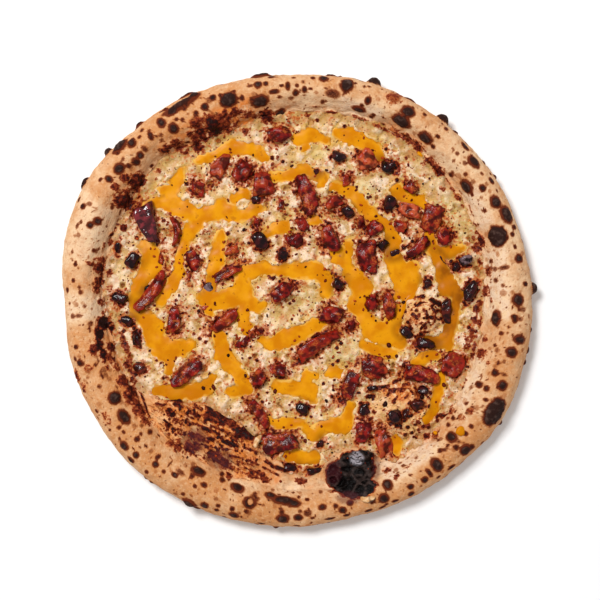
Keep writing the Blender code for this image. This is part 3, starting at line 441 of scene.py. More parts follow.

# %% [markdown]
# ## Scorched patches, floury patches, and the two burst bubbles
#
# Where the rim meets the filling the dough is thin and moist, so it blisters in grains and
# burns in clumps of grains. Flour from the bench keeps other places pale. Near the edge one
# bubble has burst and burnt to charcoal, with a glossy patch that gets a painted highlight, and
# beside it a larger one has fallen in: its skin lies in burnt folds over the cheese. Two strokes
# of painted shadow mark the crease where the rim's folded edge meets the cream. A clump is an oval
# at its bearing, a fold is a short stroke and loose grains are drawn at random inside ovals; broad
# tints are ranges of bearings and radii. Noise makes the edges of them all ragged.

# %% Clumps of burnt grains along the foot of the rim
# bearing, radius, size along the rim, size across it, how burnt
CLUMPS = [
    (4.5, 124.3, 7, 1.8, .6), (9.5, 122.3, 7, 3, .8), (18.5, 123, 11, 1.8, .65), (25, 122, 13, 2.4, .7),
    (30, 123.5, 8, 5, .8), (33.5, 124, 9, 5, .85), (37.5, 124, 9, 5.5, 1), (43.3, 122, 8, 4.5, .9),
    (42, 118, 5, 3, .6), (25, 142.5, 11, 8, .6), (2.3, 118.6, 4, 2.5, .9), (46.7, 121.5, 9, 6, 1),
    (52, 116, 5, 3, .8), (51.5, 121.5, 6, 2, .7), (54, 121, 4.5, 2.5, .9), (57, 120.5, 7, 3, 1),
    (60, 120.3, 3, 1.5, .7), (62, 123.5, 8, 1.5, .5), (66.5, 122.5, 4, 2, .6), (69.5, 121.5, 4, 3, .8),
    (72, 122, 9, 4, 1), (73.5, 118.5, 6, 6, 1), (70.5, 118, 4, 3, .8), (78, 118, 6, 3.5, .8),
    (81.5, 122, 6, 4.5, .75), (87, 119, 7, 5, .8), (89.8, 122, 4, 2.5, .6), (91, 115, 5, 4, .9),
    (93, 113, 5, 4.5, 1.1), (96.5, 112.5, 5, 4, 1), (97, 116, 7, 3, .8), (100.5, 112, 5, 4, .95),
    (102, 121, 5, 3, .65), (104, 112, 12, 8, .65), (106.5, 121.5, 7, 6, .75), (108.5, 127, 3, 3, .6),
    (105, 115.5, 5, 3, .8), (108, 116, 6, 3, .7), (116.5, 118.5, 7, 2.5, .75), (124.5, 118.5, 3, 2.5, .8),
    (126.5, 120.5, 5, 2.5, .8), (129, 118, 4, 3.5, 1), (128.5, 121.5, 3, 2, .7), (134.7, 122, 6, 5, .8),
    (137, 119.5, 6, 3.5, .85), (123, 130, 4, 4, .65), (126, 128, 4, 4, .65), (151.5, 129, 4, 2.5, 1),
    (151.4, 126, 2, 1.5, 1), (153, 122.5, 5, 4.5, .85), (179.3, 116.3, 6, 4, 1), (146.8, 127, 7, 1.8, .5),
    (180.5, 115.5, 5, 3, .85), (191, 117, 7, 4, .95), (195, 116.5, 8, 3.5, .9), (202, 121.5, 5, 4.5, .9),
    (214, 116, 5, 3, .8), (217, 119, 8, 7, 1.1), (219.8, 123, 5, 5, .9), (222.3, 124.5, 5, 4, .85),
    (232, 125.5, 9, 5, .65), (236, 126, 7, 5, .95), (240.5, 127, 9, 5, 1), (245.5, 125.5, 8, 6, .95),
    (250, 125.5, 6, 4, .8), (250.5, 131, 4, 3, .75), (237, 122.5, 18, 3, .6), (242.5, 119.5, 4, 2, .85),
    (252.5, 126.5, 5, 5, .95), (254.5, 131, 8, 4.5, 1.4), (257.5, 132, 8, 4.5, 1.5),
    (260.5, 130.5, 9, 5.5, 1.6), (263.3, 126.5, 8, 9, 1.6), (261.5, 122, 5, 4, 1.4), (256.5, 136, 7, 6, 1),
    (256, 125, 7, 6, 1.1), (253.5, 128, 5, 4, 1), (257.5, 116.5, 9, 4, .9), (249.5, 118.5, 5, 3.5, 1),
    (244.5, 118.5, 5, 4, .95), (251, 150.5, 10, 2.5, .9), (248, 149, 6, 2.5, .75), (238.5, 145, 9, 5, .55),
    (252, 142, 5, 6, .65), (269.5, 128, 5, 4, .85), (266, 126.5, 4, 2.5, .75), (273, 131, 6, 4, .85),
    (275.3, 129.3, 6.5, 6.5, 1.15), (279, 130, 8, 6.5, 1.15), (279.8, 136.5, 3, 6, .95),
    (281.3, 131, 4, 7, .85), (278, 123.5, 5, 4, 1), (273.5, 122, 5, 4, .75), (285.5, 121.3, 5.5, 4, 1.1),
    (287, 126.5, 4, 3, .9), (289, 128.3, 4.5, 2.5, 1), (291, 126.5, 3, 2, .7), (292, 122.3, 4.5, 4, 1.1),
    (292.6, 126, 1.5, 3.5, 1.1), (288.5, 122, 4, 3, .65), (285.5, 130.5, 4, 2.5, .65),
    (299.5, 129, 9, 13, 1.3), (298, 131, 5, 6, 1), (302, 131, 4, 5, .95), (300, 123.5, 5, 3, .85),
    (306, 129.5, 12, 9, 1.15), (304, 128, 5, 7, 1), (307, 126, 6, 4, .95), (305, 136.5, 6, 5, 1.1),
    (301.5, 138, 5, 5, .95), (299, 119.5, 15, 2, .95), (296.5, 121, 4, 2, .85), (312.3, 123, 3.5, 5, .65),
    (310, 120.5, 3, 1.5, .7), (318.5, 129.5, 7, 6, 1), (321.5, 129, 6, 5, .95), (322.5, 119.7, 5, 3, .85),
    (326.3, 118.5, 7, 8, 1.15), (326.5, 128, 5, 4, 1), (327, 123.5, 5, 6, .95), (329.3, 126, 6, 12, 1.1),
    (328.7, 132.3, 4, 5, 1.2), (329.5, 119.5, 6, 4, 1.1), (333.7, 126, 9, 13, 1.3),
    (333.5, 122, 10, 6, 1.3), (337.5, 127, 8, 8, 1), (337, 119.5, 7, 5, 1), (341, 127, 9, 6, .95),
    (344, 124, 8, 6, .85), (342.5, 114, 5, 4, .9), (340, 121, 6, 5, .75), (346, 121, 4, 3, .85),
    (347.5, 111.5, 4, 1.5, .8), (349.7, 120, 9, 10, 1.15), (254.7, 115.5, 11, 4, 1),
    (250.8, 116, 8, 4.5, .8), (247, 117, 8, 5, .75), (236, 124, 12, 4, 1), (241, 122, 10, 4.5, 1.1),
    (331, 131.5, 16, 5, .8), (337, 124, 12, 8, .8), (322, 124, 8, 7, .8),
]
print("clumps", len(CLUMPS))

# %% The folds of the fallen skin, and the broad tints of the rim
# The burnt edges of the skin, and two strokes of painted shadow in the crease where the rim's
# folded edge meets the cream: x, y to x, y, width, how burnt
SINGES_AND_SHADE = [
    (-90, -61, -84, -63, 4.4, 1.5), (-84, -63, -77, -66, 2.6, 1.3), (-68, -65.5, -62, -63.3, 1.6, 1.1),
    (-62, -63.3, -56, -64, 2, 1.3), (-56, -64, -50, -67, 3, 1.2), (-50, -67, -44, -72, 3.2, 1.35),
    (-44, -72, -38, -78, 2.8, 1.4), (-38, -78, -32, -82.5, 2.6, 1.3), (-60, -68, -57, -71, 3, 1.3),
    (-58, -74, -50, -77, 6.5, 1.3), (-51, -76, -43, -80, 5, 1.05), (-38, -83.5, -32, -85, 8, 1.5),
    (-42, -82, -36, -88, 4, 1.1), (-72, -78, -62, -81, 1.6, 1), (-62, -81.6, -52, -85.5, 2.6, 1.35),
    (-58, -88.5, -55.5, -89, 3, 1.3), (-55, -81, -48, -84, 2, 1), (-48, -84, -40, -88, 2.2, 1.1),
    (-70, -86, -62, -89, 4, 1), (-72, -94, -66, -94, 5, 1), (-47, -91, -41, -93.5, 3.4, 1.5),
    (-58, -97.5, -48, -104, 5, 1.15), (-50, -104, -43, -107.6, 3, 1.1), (-43, -99, -37, -101, 2, 1.1),
    (-40, -103, -30, -106, 1.4, .95), (-33, -102.5, -27, -105.5, 1.8, 1.05),
    (-31, -110, -29, -110.5, 3, 1.1), (-26, -110.5, -24, -112, 3.6, 1.15),
    (-22, -103, -17, -106.5, 2.2, 1.2), (-15, -107, -9, -109.4, 2.4, 1.3), (-36, -94, -29, -97, 1.4, 1),
    (-50, -94.5, -42, -98.5, 1.4, .9), (-62, -92.5, -52, -95, 1.4, .9), (-36, -107, -28, -109.5, 1.2, .9),
    (-24, -107, -14, -112, 1.4, .95), (-84, -71, -81.5, -73, 4, 1.4), (-80, -66.5, -76, -68.5, 2.6, 1.2),
    (-92, -67, -88, -67.5, 1.8, 1.1), (-85, -79.5, -83.5, -79.5, 2.6, 1.3),
    (-80, -76.5, -78, -77.5, 2.2, 1.1), (-75.5, -79.5, -74, -81, 2.2, 1.2), (-69, -72, -65, -74.5, 3, 1.1),
    (-67, -68, -63, -70, 1.8, 1), (-74, -72.5, -68, -76, 1.4, .9), (-82, -84, -76, -86, 1.4, .8),
    (-114, -50, -109, -60, 4, 1.1), (-109, -60, -103.5, -71, 4, 1), (-103.5, -71, -99, -79, 3, 1),
    # The first two strokes on the next line are painted shadow, not burns
    (-105, -53, -100, -64, 1.5, 1.2), (-100, -64, -97, -75, 1.5, 1.2), (-83, -90, -83, -93.5, 3, .75),
    (-78, -89, -78, -96, 2.6, .75), (-71.5, -97.5, -68, -98, 3, 1),
]
# Pale folds between the burnt ones, in the same order
PALE_FOLDS = [
    (-60, -66.5, -52, -69, 1.5, 1), (-52, -69, -45, -74.5, 1.6, 1), (-45, -74.5, -38, -81, 1.6, 1),
    (-80, -80, -68, -83, 2.6, .9), (-66, -98, -60, -96, 2.4, .9), (-46, -97, -36, -99.5, 2, .9),
    (-30, -99, -22, -101.5, 1.6, .8), (-84, -66.5, -78, -71, 1.8, .8),
]
# Broad tints: first and last bearing, least and greatest radius, strength
CARAMEL = [
    (27, 39, 119, 127, .9), (96, 109, 108, 118, .5), (331, 347, 112, 134, 1), (196, 236, 84, 111, .75),
    (186, 201, 104, 119, .8), (230, 262, 119, 128, .8), (68, 75, 115, 124, .4), (296, 310, 121, 136, .5),
    (132, 139, 117, 124, .6), (317, 331, 114, 134, .8), (345, 357, 112, 125, .5), (270, 283, 122, 133, .4),
]
FLOURED = [
    (8, 24, 124, 134, .9), (40, 52, 124, 134, .5), (56, 69, 121, 136, .8), (75, 96, 117, 136, .9),
    (108, 124, 117, 127, 1), (136, 155, 115, 133, 1), (169, 173, 117, 126, .8), (179, 186, 117, 125, .9),
    (193, 201, 117, 126, .6), (225, 232, 114, 122, .8), (264, 272, 117, 150, .7), (280, 297, 130, 155, .6),
    (40, 100, 134, 148, .25), (355, 372, 122, 140, .3),
]
TANNED = [
    (97, 112, 123, 150, .5), (124, 136, 138, 150, .7), (135, 172, 133, 146, .8), (172, 200, 124, 148, .6),
    (200, 215, 120, 151, .7), (215, 262, 120, 151, .5), (303, 346, 132, 152, .5),
]
print("folds", len(SINGES_AND_SHADE) + len(PALE_FOLDS), "tints", len(CARAMEL) + len(FLOURED) + len(TANNED))


# %% How burnt a point is by each of them
def to_stroke(flat, ax, ay, bx, by):
    """The nearest place along a stroke, from 0 to 1, and the distance to it."""
    part = (flat[..., 0] - ax) * (bx - ax) + (flat[..., 1] - ay) * (by - ay)
    part = np.clip(part / ((bx - ax) ** 2 + (by - ay) ** 2), 0.0, 1.0)
    return part, np.hypot(flat[..., 0] - ax - part * (bx - ax), flat[..., 1] - ay - part * (by - ay))


def clumps_on(flat, noisy):
    """How burnt each point seen from above is by the clumps of grains; their edges are ragged."""
    total = np.zeros(flat.shape[:-1])
    for bearing, far, wide, deep, strength in CLUMPS:
        east, north = math.sin(math.radians(bearing)), math.cos(math.radians(bearing))
        side = flat[..., 0] * north - flat[..., 1] * east
        away = flat[..., 0] * east + flat[..., 1] * north - far
        size = np.hypot(side / (0.5 * wide), away / (0.5 * deep)) + noisy
        total = np.maximum(total, strength * (1.0 - ease(0.6, 1.5, size)))
    return total


def strokes_on(flat, rows, noisy):
    """The same for short straight strokes."""
    total = np.zeros(flat.shape[:-1])
    for ax, ay, bx, by, wide, strength in rows:
        size = to_stroke(flat, ax, ay, bx, by)[1] / (0.5 * wide) + 0.7 * noisy
        total = np.maximum(total, strength * (1.0 - ease(0.6, 1.5, size)))
    return total


def dots_on(flat, rows):
    """The same for round grains, given as x, y, radius and how burnt."""
    total = np.zeros(flat.shape[:-1])
    for x, y, reach, strength in rows:
        away = from_middle(flat, x, y)
        total = np.maximum(total, strength * (1.0 - ease(0.5 * reach, 1.3 * reach, away)))
    return total


def dots_in(ovals):
    """Random grains in ovals, given as count, x, y, two half widths, least and greatest radius."""
    rows = []
    for count, x, y, half_x, half_y, small, large in ovals:
        for _ in range(count):
            far, turn = math.sqrt(draw.random()), draw.uniform(0.0, 2.0 * math.pi)
            rows.append((x + half_x * far * math.sin(turn), y + half_y * far * math.cos(turn),
                         draw.uniform(small, large), draw.uniform(0.9, 1.5)))
    return rows


# %% Lay down the clumps, the folds and the tints
flap_dots = dots_in([(110, -55, -80, 34, 13, .5, 1.3), (90, -45, -96, 36, 10, .5, 1.2),
                     (40, -80, -76, 10, 12, .5, 1.2)])
wavy = 2.6 * clouds(rim, 9.0, 15.0) + 1.6 * clouds(rim, 4.0, 5.0)


def patch(rows, soft):
    """How much of each patch lies on every point; the edges wander."""
    total = np.zeros(radius.shape)
    for first, last, near, far, strength in rows:
        middle, half = 0.5 * (first + last), 0.5 * (last - first)
        turned = np.abs((bearings[:, None] - middle + 180.0) % 360.0 - 180.0) - half
        side = turned * seen_radius * math.pi / 180.0
        over = np.maximum(near - seen_radius, seen_radius - far)
        total = np.maximum(total, strength * (1.0 - ease(-soft, soft, np.maximum(side, over) + wavy)))
    return total


top_side = ((along >= TOP_SIDE[0]) & (along < TOP_SIDE[1]))[None, :]
scorch = clumps_on(seen, 3.0 * ragged) * top_side
singed = np.maximum(0.92 * strokes_on(seen, SINGES_AND_SHADE, 2.0 * ragged), dots_on(seen, flap_dots)) * top_side
scorch = np.maximum(scorch, singed)
caramel = patch(CARAMEL, 4.0) * top_side
flour = (patch(FLOURED, 5.0) - 0.8 * patch(TANNED, 7.0)) * ease(2.0, 4.0, along)
print("scorched share", round(float((scorch > 0.4).mean()), 3))

# %% The burst bubble, burnt to charcoal
# x, y, two half widths and height of the lumps of charcoal; then ovals of purple skin, of glossy
# tar with a painted highlight and of orange skin, as x, y and two half widths
CRATER = [
    (37, -111, 9, 11, 12.5), (25, -112.5, 7.5, 10.5, 15.5), (41.5, -106.5, 6.5, 11.5, 15),
    (35, -119, 12, 8, 18.5), (34, -102.5, 8.5, 5.5, 13.5),
]
PLUM = [(21, -109.5, 5, 8), (31, -126.5, 8, 4), (48.5, -107, 3, 9), (-67, -90, 8, 9), (-51, -102, 9, 7)]
GLOSSY_HIGHLIGHT = [(36, -101.5, 4.6, 4.4)]
GLOWING = [(-76, -72, 9, 5), (-50, -87.5, 7.5, 3.4), (-38, -93.5, 6.5, 3.4), (-62, -70, 7, 3.5)]
CHAR_FLOOR = 10.5           # the charcoal stands on this height
HOLE = (37.0, -111.0)       # the middle of the hole in it
HOLE_RADIUS = 8.0
HOLE_DEPTH = 6.0
crumple = clouds(rim, 5.0, 40.0) + 0.6 * clouds(rim, 2.4, 50.0)
shards = 1.0 - 3.2 * np.abs(clouds(rim, 6.0, 45.0)) - 1.4 * np.abs(clouds(rim, 2.6, 46.0))
coal = np.zeros(radius.shape)


def ovals(rows, soft):
    """1 inside any of the ovals, given as a middle and two half widths, and 0 outside."""
    total = np.zeros(radius.shape)
    for x, y, half_x, half_y in rows:
        size = from_middle(seen, x, y, half_x, half_y) + 0.2 * crumple
        total = np.maximum(total, 1.0 - ease(1.0 - soft, 1.0 + soft, size))
    return total * top_side


for x, y, half_x, half_y, high in CRATER:
    away = from_middle(seen, x, y, half_x, half_y) + 0.22 * crumple
    dome = np.sqrt(np.maximum(0.0, 1.0 - away ** 2))
    lump = CHAR_FLOOR + (high - CHAR_FLOOR) * dome + 2.2 * shards - 0.6
    lump -= HOLE_DEPTH * (1.0 - ease(0.0, HOLE_RADIUS, from_middle(rim, *HOLE)))
    inside = (away < 1.0) & top_side & (along >= 6.0)[None, :]
    rim[:, :, 2] = np.where(inside, np.maximum(rim[:, :, 2], lump), rim[:, :, 2])
    here = (1.0 - ease(0.9, 1.08, away)) * top_side
    coal = np.maximum(coal, here)
    scorch = np.maximum(scorch, 0.9 * (1.0 - ease(1.0, 1.25, away)) * top_side)
    lift *= 1.0 - here
print("charcoal share", round(float((coal > 0.5).mean()), 4))

# %% The fallen bubble, and the fine relief of the whole rim
plum = ovals(PLUM, 0.35)
glossy_highlight = ovals(GLOSSY_HIGHLIGHT, 0.2)
rim[:, :, 2] += 1.6 * glossy_highlight
caramel = np.maximum(caramel, ovals(GLOWING, 0.4))
flap_turn = ease(186.0, 200.0, bearings) * (1.0 - ease(232.0, 240.0, bearings))
flap = flap_turn[:, None] * (1.0 - ease(1.0, 2.2, np.abs(along - FOLD)))
strand = np.stack([rim[:, :, 0] * 0.75 - rim[:, :, 1] * 0.66, rim[:, :, 1] * 0.75 + rim[:, :, 0] * 0.66,
                   rim[:, :, 2]], axis=-1) * [0.4, 1.0, 1.0]
folds = np.abs(clouds(strand, 5.0, 60.0))
lift += flap * (1.6 * (1.0 - 2.6 * folds).clip(-0.3, 1.0) + 0.8 * crumple)
scorch = np.maximum(scorch, flap * (0.2 + 0.35 * crumple))
scorch *= 1.0 - np.minimum(1.0, strokes_on(seen, PALE_FOLDS, ragged)) * flap
lift += 0.9 * np.minimum(1.0, singed) * (1.0 - coal)
grainy = np.minimum(1.0, scorch) * (1.0 - flap) * (1.0 - coal)
lift += grainy * (0.7 + 2.0 * (0.5 - cells(rim, 2.8, 4.0)) + 0.5 * clouds(rim, 1.6, 9.0))
lift += (0.28 * clouds(rim, 3.6, 70.0) + 0.14 * clouds(rim, 1.6, 80.0)) * ease(2.0, 4.0, along)
lift += 0.5 * clouds(rim, 8.0, 75.0) * ease(2.0, 4.0, along) * (1.0 - ease(11.0, 13.0, along))
slope = ease(11.5, 13.0, along) * (1.0 - flap) * (1.0 - coal)
lift += slope * (1.6 * clouds(rim, 8.0, 71.0) + 0.8 * clouds(rim, 3.4, 72.0))
lift *= ease(1.6, 3.0, along) * (1.0 - ease(15.2, 16.0, along))
rim += out * lift[:, :, None]
print("tallest point", round(float(rim[:, :, 2].max()), 2))

# %% [markdown]
# The sheet now takes on that form. Numbers kept with its corners tell the finish what is burnt,
# floured or folded; scorching runs past 1, so it is kept at a smaller scale.

# %% Roll the sheet into the crust
SCORCH_SCALE = 0.6
START_SIDE = 100.0
crust = sheet("crust_baked", COLUMNS, len(along) - 1, START_SIDE)
flat = corners(crust) / (START_SIDE * MM) + 0.5
column = np.rint(flat[:, 0] * COLUMNS).astype(int) % COLUMNS
row = np.rint(flat[:, 1] * (len(along) - 1)).astype(int)
place_corners(crust, rim[column, row])
kept_fields = {"burn": burn, "toast": toast, "caramel": caramel, "flour": flour, "coal": coal,
               "scorch": SCORCH_SCALE * scorch, "crease": shards, "flap": flap, "plum": plum,
               "glossy_highlight": glossy_highlight}
store(crust, **{name: values[column, row] for name, values in kept_fields.items()})
close_up(crust)
print("crust faces", len(crust.data.polygons))

# %% [markdown]
# ## The cheese cream
#
# The cream is thick and full of curds. In the oven it sets in lumps of about five millimetres,
# and it swells into two big bubbles whose skin wrinkles and burns. The hollows between the lumps
# get painted shade, and tiny holes get dots of painted shade. Small bubbles pop and leave pores.
# Grains of it char, and yolk soaks into it here and there, which turns it greenish; a greenish
# strip along the foot of the upper rim is painted shade. It starts as a flat grid. The corners
# outside the rim's foot are deleted, so the edge ends inside the dough, and the rest is extruded
# and closed, which makes a real layer with a thickness.

# %% Swollen bubbles, streaks of sauce and wrinkles
# Swollen bubbles: x, y, two half widths and rise
DOMES = [(79, -9.5, 14.5, 15.5, 7.5), (66, -71, 25, 19, 8.5), (-8, 118, 12, 6, 1.5)]
# Each streak of sauce is a row of x, y and width.
STREAKS = [
    [(-98, 62, 4), (-92, 63, 6), (-84, 62, 11), (-76, 58, 12), (-66, 54, 11), (-57, 55, 10),
     (-49, 58, 13), (-41, 55, 11), (-33, 57, 10), (-27, 59, 7)],
    [(-88, 70, 6), (-82, 72, 8), (-79, 76, 9), (-77, 82, 5)],
    [(-82, 62, 8), (-84, 68, 7), (-80, 73, 8)],
    [(-66, 52, 11), (-70, 45, 9), (-74, 37, 7), (-77, 28, 6), (-77, 19, 7), (-81, 12, 9),
     (-86, 6, 8), (-89, 0, 8)],
    [(-101, 36, 6), (-96, 31, 12), (-95, 23, 13), (-99, 16, 11), (-104, 8, 9), (-106, 0, 8),
     (-104, -8, 9), (-99, -12, 11), (-94, -18, 15), (-93, -26, 13), (-86, -32, 13), (-77, -31, 11),
     (-71, -28, 7)],
    [(-93, -33, 7), (-85, -38, 8), (-84, -46, 4)],
    [(-50, 43, 5), (-52, 35, 8), (-53, 26, 9), (-55, 18, 9), (-57, 10, 7), (-60, 2, 9), (-55, -1, 12),
     (-46, 1, 13), (-37, 4, 14), (-37, 12, 10), (-37, 17, 10), (-30, 19, 9), (-22, 20, 8),
     (-14, 19, 6), (-5, 19, 10), (3, 19, 11), (11, 18, 11), (17, 13, 9), (17, 5, 8)],
    [(-34, 0, 10), (-29, -4, 9), (-24, -3, 6)],
    [(-35, -4, 9), (-38, -11, 8), (-35, -17, 7), (-34, -21, 4)],
    [(-53, -18, 6), (-50, -27, 10), (-49, -36, 11), (-43, -43, 9), (-37, -51, 9), (-34, -58, 7),
     (-44, -59, 8)],
    [(-26, -25, 4), (-18, -28, 9), (-8, -24, 13), (1, -21, 10), (10, -16, 9), (15, -14, 6)],
    [(-14, -56, 8), (-4, -57, 9), (5, -58, 12), (8, -64, 6)],
    [(4, -55, 8), (4, -47, 6), (10, -49, 4)],
    [(22, 73, 6), (28, 71, 9), (34, 68, 8), (38, 64, 8), (42, 58, 9), (47, 54, 9), (52, 50, 7),
     (57, 45, 8), (60, 39, 10), (59, 30, 8), (62, 22, 12), (66, 15, 15), (66, 5, 10), (64, -4, 8),
     (60, -13, 10), (56, -22, 16), (46, -19, 14), (41, -11, 9), (37, -3, 12), (40, 6, 13),
     (36, 13, 13), (31, 20, 7), (30, 27, 5), (31, 36, 7)],
    [(57, -22, 14), (64, -28, 9)],
    [(83, 41, 7), (84, 33, 8), (90, 30, 9), (98, 31, 7), (104, 33, 5)],
    [(87, 30, 8), (90, 22, 8), (92, 15, 9), (95, 9, 13), (101, 4, 8), (99, -6, 7), (98, -15, 7),
     (94, -24, 9), (95, -30, 8)],
    [(-64, 90, 6), (-55, 93, 5), (-46, 97, 10), (-37, 98, 9), (-28, 96, 7), (-23, 91, 7)],
    [(-1, 104, 9), (5, 105, 10), (12, 105, 6), (17, 102, 5)],
    [(24, 107, 6), (32, 105, 11), (41, 101, 9), (49, 97, 8), (52, 92, 6)],
    [(-90, -58, 7), (-80, -59, 11), (-70, -59, 11), (-61, -56, 10), (-57, -50, 6)],
    [(-21, 42, 6), (-15, 46, 8), (-10, 47, 8)],
    [(18, -47, 5), (24, -46, 7), (25, -50, 4)],
    [(32, -67, 5), (31, -74, 8), (28, -81, 10), (20, -80, 9), (13, -82, 8), (9, -88, 7), (2, -79, 5),
     (-6, -79, 7), (-15, -79, 7), (-20, -77, 5)],
    [(-8, -100, 6), (0, -101, 9), (9, -101, 8)],
    [(62, -90, 7), (62, -97, 6)],
    [(-18, 79, 5), (-10, 79, 8), (-2, 81, 6), (3, 84, 6), (9, 80, 6), (14, 78, 8), (14, 74, 5)],
    [(62, 71, 9), (68, 66, 8), (76, 64, 7), (80, 61, 5)],
    [(73, -40, 5), (80, -37, 8), (87, -35, 6)],
    [(91, -49, 7), (89, -59, 6), (85, -70, 7), (81, -77, 6)],
    [(10, 51, 7), (8, 51, 6)], [(-61, 2, 8), (-58, -8, 6)], [(40, -28, 5), (50, -33, 8), (60, -34, 7)],
    [(72, 21, 9), (74, 14, 8), (70, 4, 7)], [(83, -27, 8), (92, -29, 8)], [(-42, 64, 7), (-36, 68, 8)],
    [(21, 30, 5), (27, 33, 5)], [(22, 26, 5), (30, 22, 6)], [(2, 96, 4), (4, 99, 5)],
]
# The dark wrinkles of the two bubbles: x, y to x, y, width, how burnt
WRINKLES = [
    (74, -4, 77, -1.5, 1.6, 1.2), (77, -1.5, 81, -1.5, 1.4, 1), (72, -9, 74.5, -11.5, 2.6, 1.1),
    (80.5, -7, 81, -12, 1.7, 1.3), (80, -15, 77, -18.5, 1.7, 1.4), (84, -4, 86.5, -8, 1.8, 1.2),
    (86.5, -9, 86, -14, 1.6, 1.1), (69, -14, 70.5, -17, 2.2, 1.2), (84, 0, 89, -2.5, 2.8, 1.6),
    (66.5, -5, 68, -9, 1.2, .9), (75, 2, 79, 3, 1.6, 1.1), (77, -20, 82, -20.5, 1.2, .9),
    (45, -57, 51, -56.5, 3.2, 1.2), (53, -55.5, 57, -55, 2.2, 1.1), (60, -52.5, 64, -51, 2.4, 1.1),
    (56, -61, 59, -58.5, 2, 1), (59, -57.5, 63, -57, 1.6, 1), (64, -58.5, 67, -57, 1.8, 1),
    (66, -54.5, 70, -53.5, 2, 1.1), (67, -62.5, 69, -60.5, 1.4, 1), (60, -64, 62, -62, 1.6, .9),
    (43, -62, 47, -61.5, 2.8, 1.2), (70, -57, 73, -60, 1.4, 1), (66, -74.5, 71, -73.5, 2.2, 1.4),
    (73, -56, 77, -58, 1.8, 1.2), (80, -60, 84, -64, 1.4, 1.1), (78, -81, 82, -80, 1.8, 1.1),
    (80, -86.5, 84, -87, 2, 1.1), (90, -74, 95, -73.5, 1.8, 1.2), (44, -77, 46, -75.5, 2.2, 1.2),
]
# Curds that stand clear of the sauce: x, y and radius.
ISLANDS = [(-37, 61.5, 3.6), (-88, 17, 2), (63, -1, 1.6), (-72, 50, 1.6)]
CREAM_TOP = 6.5
print("streaks", len(STREAKS), "wrinkles", len(WRINKLES))


# %% Heights of the cream, and how deep a point lies inside the yolk sauce
def resting_height(flat):
    """The smooth top of the cream, with its swollen bubbles."""
    high = CREAM_TOP + 0.9 * clouds(flat, 20.0) + 0.6 * clouds(flat, 1 / 0.12)
    for x, y, half_x, half_y, rise in DOMES:
        away = ((flat[:, 0] - x) / half_x) ** 2 + ((flat[:, 1] - y) / half_y) ** 2
        high += rise * np.maximum(0.0, 1.0 - away) ** 1.3
    return high


def sauce_depth(flat):
    """Above zero inside a streak: the distance to its edge, which wanders round the curds."""
    best = np.full(len(flat), -99.0)
    for streak in STREAKS:
        for (ax, ay, aw), (bx, by, bw) in zip(streak, streak[1:]):
            part, away = to_stroke(flat, ax, ay, bx, by)
            best = np.maximum(best, 0.5 * (aw + part * (bw - aw)) - away)
    for x, y, reach in ISLANDS:
        best = np.minimum(best, from_middle(flat, x, y) - reach)
    return best - 0.3 + 1.5 * clouds(flat, 7.0, 90.0) + 1.2 * clouds(flat, 3.0, 91.0)


# %% The pieces that lie on the cream, and how close a point is to them
# x, y, length, width, turn, height, bend, taper, tone. Those in BACON and TRUFFLE stand for solids.
BACON = [
    (-50.5, 86, 17, 8.5, 55, 4.2, 0, .2, .6), (-36.8, 82.5, 13.5, 12, 40, 3.8, 0, 0, .2),
    (-23.3, 74.2, 16, 12, 98, 4.6, 0, .6, .35), (-13, 106, 15, 10.5, 10, 4.4, 0, .1, 0),
    (4.8, 66.8, 25, 10.5, 108, 4.4, 0, .1, .1), (22, 62.3, 11, 8, 25, 3.6, 1.5, 0, .3),
    (19.6, 38.8, 19, 11, 112, 4.6, 0, .2, -.1), (-2.6, 37.8, 10.5, 9, 20, 3.8, 0, .2, 0),
    (43.2, 90.6, 13.5, 12.5, 10, 4.4, 0, 0, 1), (69.6, 57.6, 14.5, 8.4, 170, 3.8, 0, 0, .9),
    (84, 52, 18, 12.5, 70, 4.8, 0, 0, .2), (47.2, 45.6, 10.5, 8.8, 60, 3.8, 0, -.4, .1),
    (42.6, 26.4, 21.5, 12.6, 100, 5, 0, -.5, -.1), (75.6, 33.8, 17, 8, 45, 4.2, -1, -.2, .1),
    (92.4, 41.2, 10.5, 9.2, 130, 4, 0, 0, 0), (46.2, -1.4, 10, 8.6, 100, 4.2, 0, 0, .1),
    (57, -3.6, 17.5, 8.6, 100, 4.6, 1, 0, .2), (-96.6, 47.8, 25, 11.5, 116, 6.4, 2, -.5, -1),
    (-79.4, 44.4, 19, 5, 96, 4.6, -2.6, 0, .3), (-95.2, 4.6, 29, 8.2, 52, 4.8, -1.2, 0, .2),
    (-80, -13.6, 17.5, 7.6, 84, 4.4, 0, .1, .1), (-48.2, -13, 20, 7.6, 38, 4.4, 0, .1, .3),
    (-46.2, 17.6, 19.5, 5.8, 25, 3.8, .8, .1, .2), (-68, 25.6, 12, 9.4, 120, 3.4, 0, 0, 0),
    (-11.2, 5.2, 16, 9.6, 42, 4.6, 0, .2, .1), (20.4, -9.4, 13, 11.6, 160, 4.6, 0, 0, -.1),
    (10.6, -28.4, 28.5, 9.2, 33, 4.8, 1, 0, .2), (-73.6, -47.2, 25, 9.6, 38, 5, .8, .1, 0),
    (-13.2, -90.8, 21.5, 13, 14, 5.4, 0, 0, -.3), (-25.8, -74, 21, 7.2, -56, 4.4, 1, 0, .1),
    (-26.8, -50.6, 10.5, 7.6, 55, 4, 0, 0, 0), (-13.6, -44.4, 10, 7.8, 140, 3.8, 0, 0, .1),
    (46.6, -43.4, 16.5, 15, 20, 5.2, 0, 0, .1), (31.4, -54.8, 18.5, 9.4, 68, 4.2, 0, .2, .1),
    (40.2, -84.8, 13.5, 9.6, 86, 4.6, 0, 0, -.2), (52.8, -90.6, 18, 9, 112, 4.6, -1, 0, .7),
    (77.6, -47.2, 22, 10.4, -16, 5.4, 1, 0, -.1), (97.4, -41, 16, 13.6, 60, 5, 0, 0, .25),
]
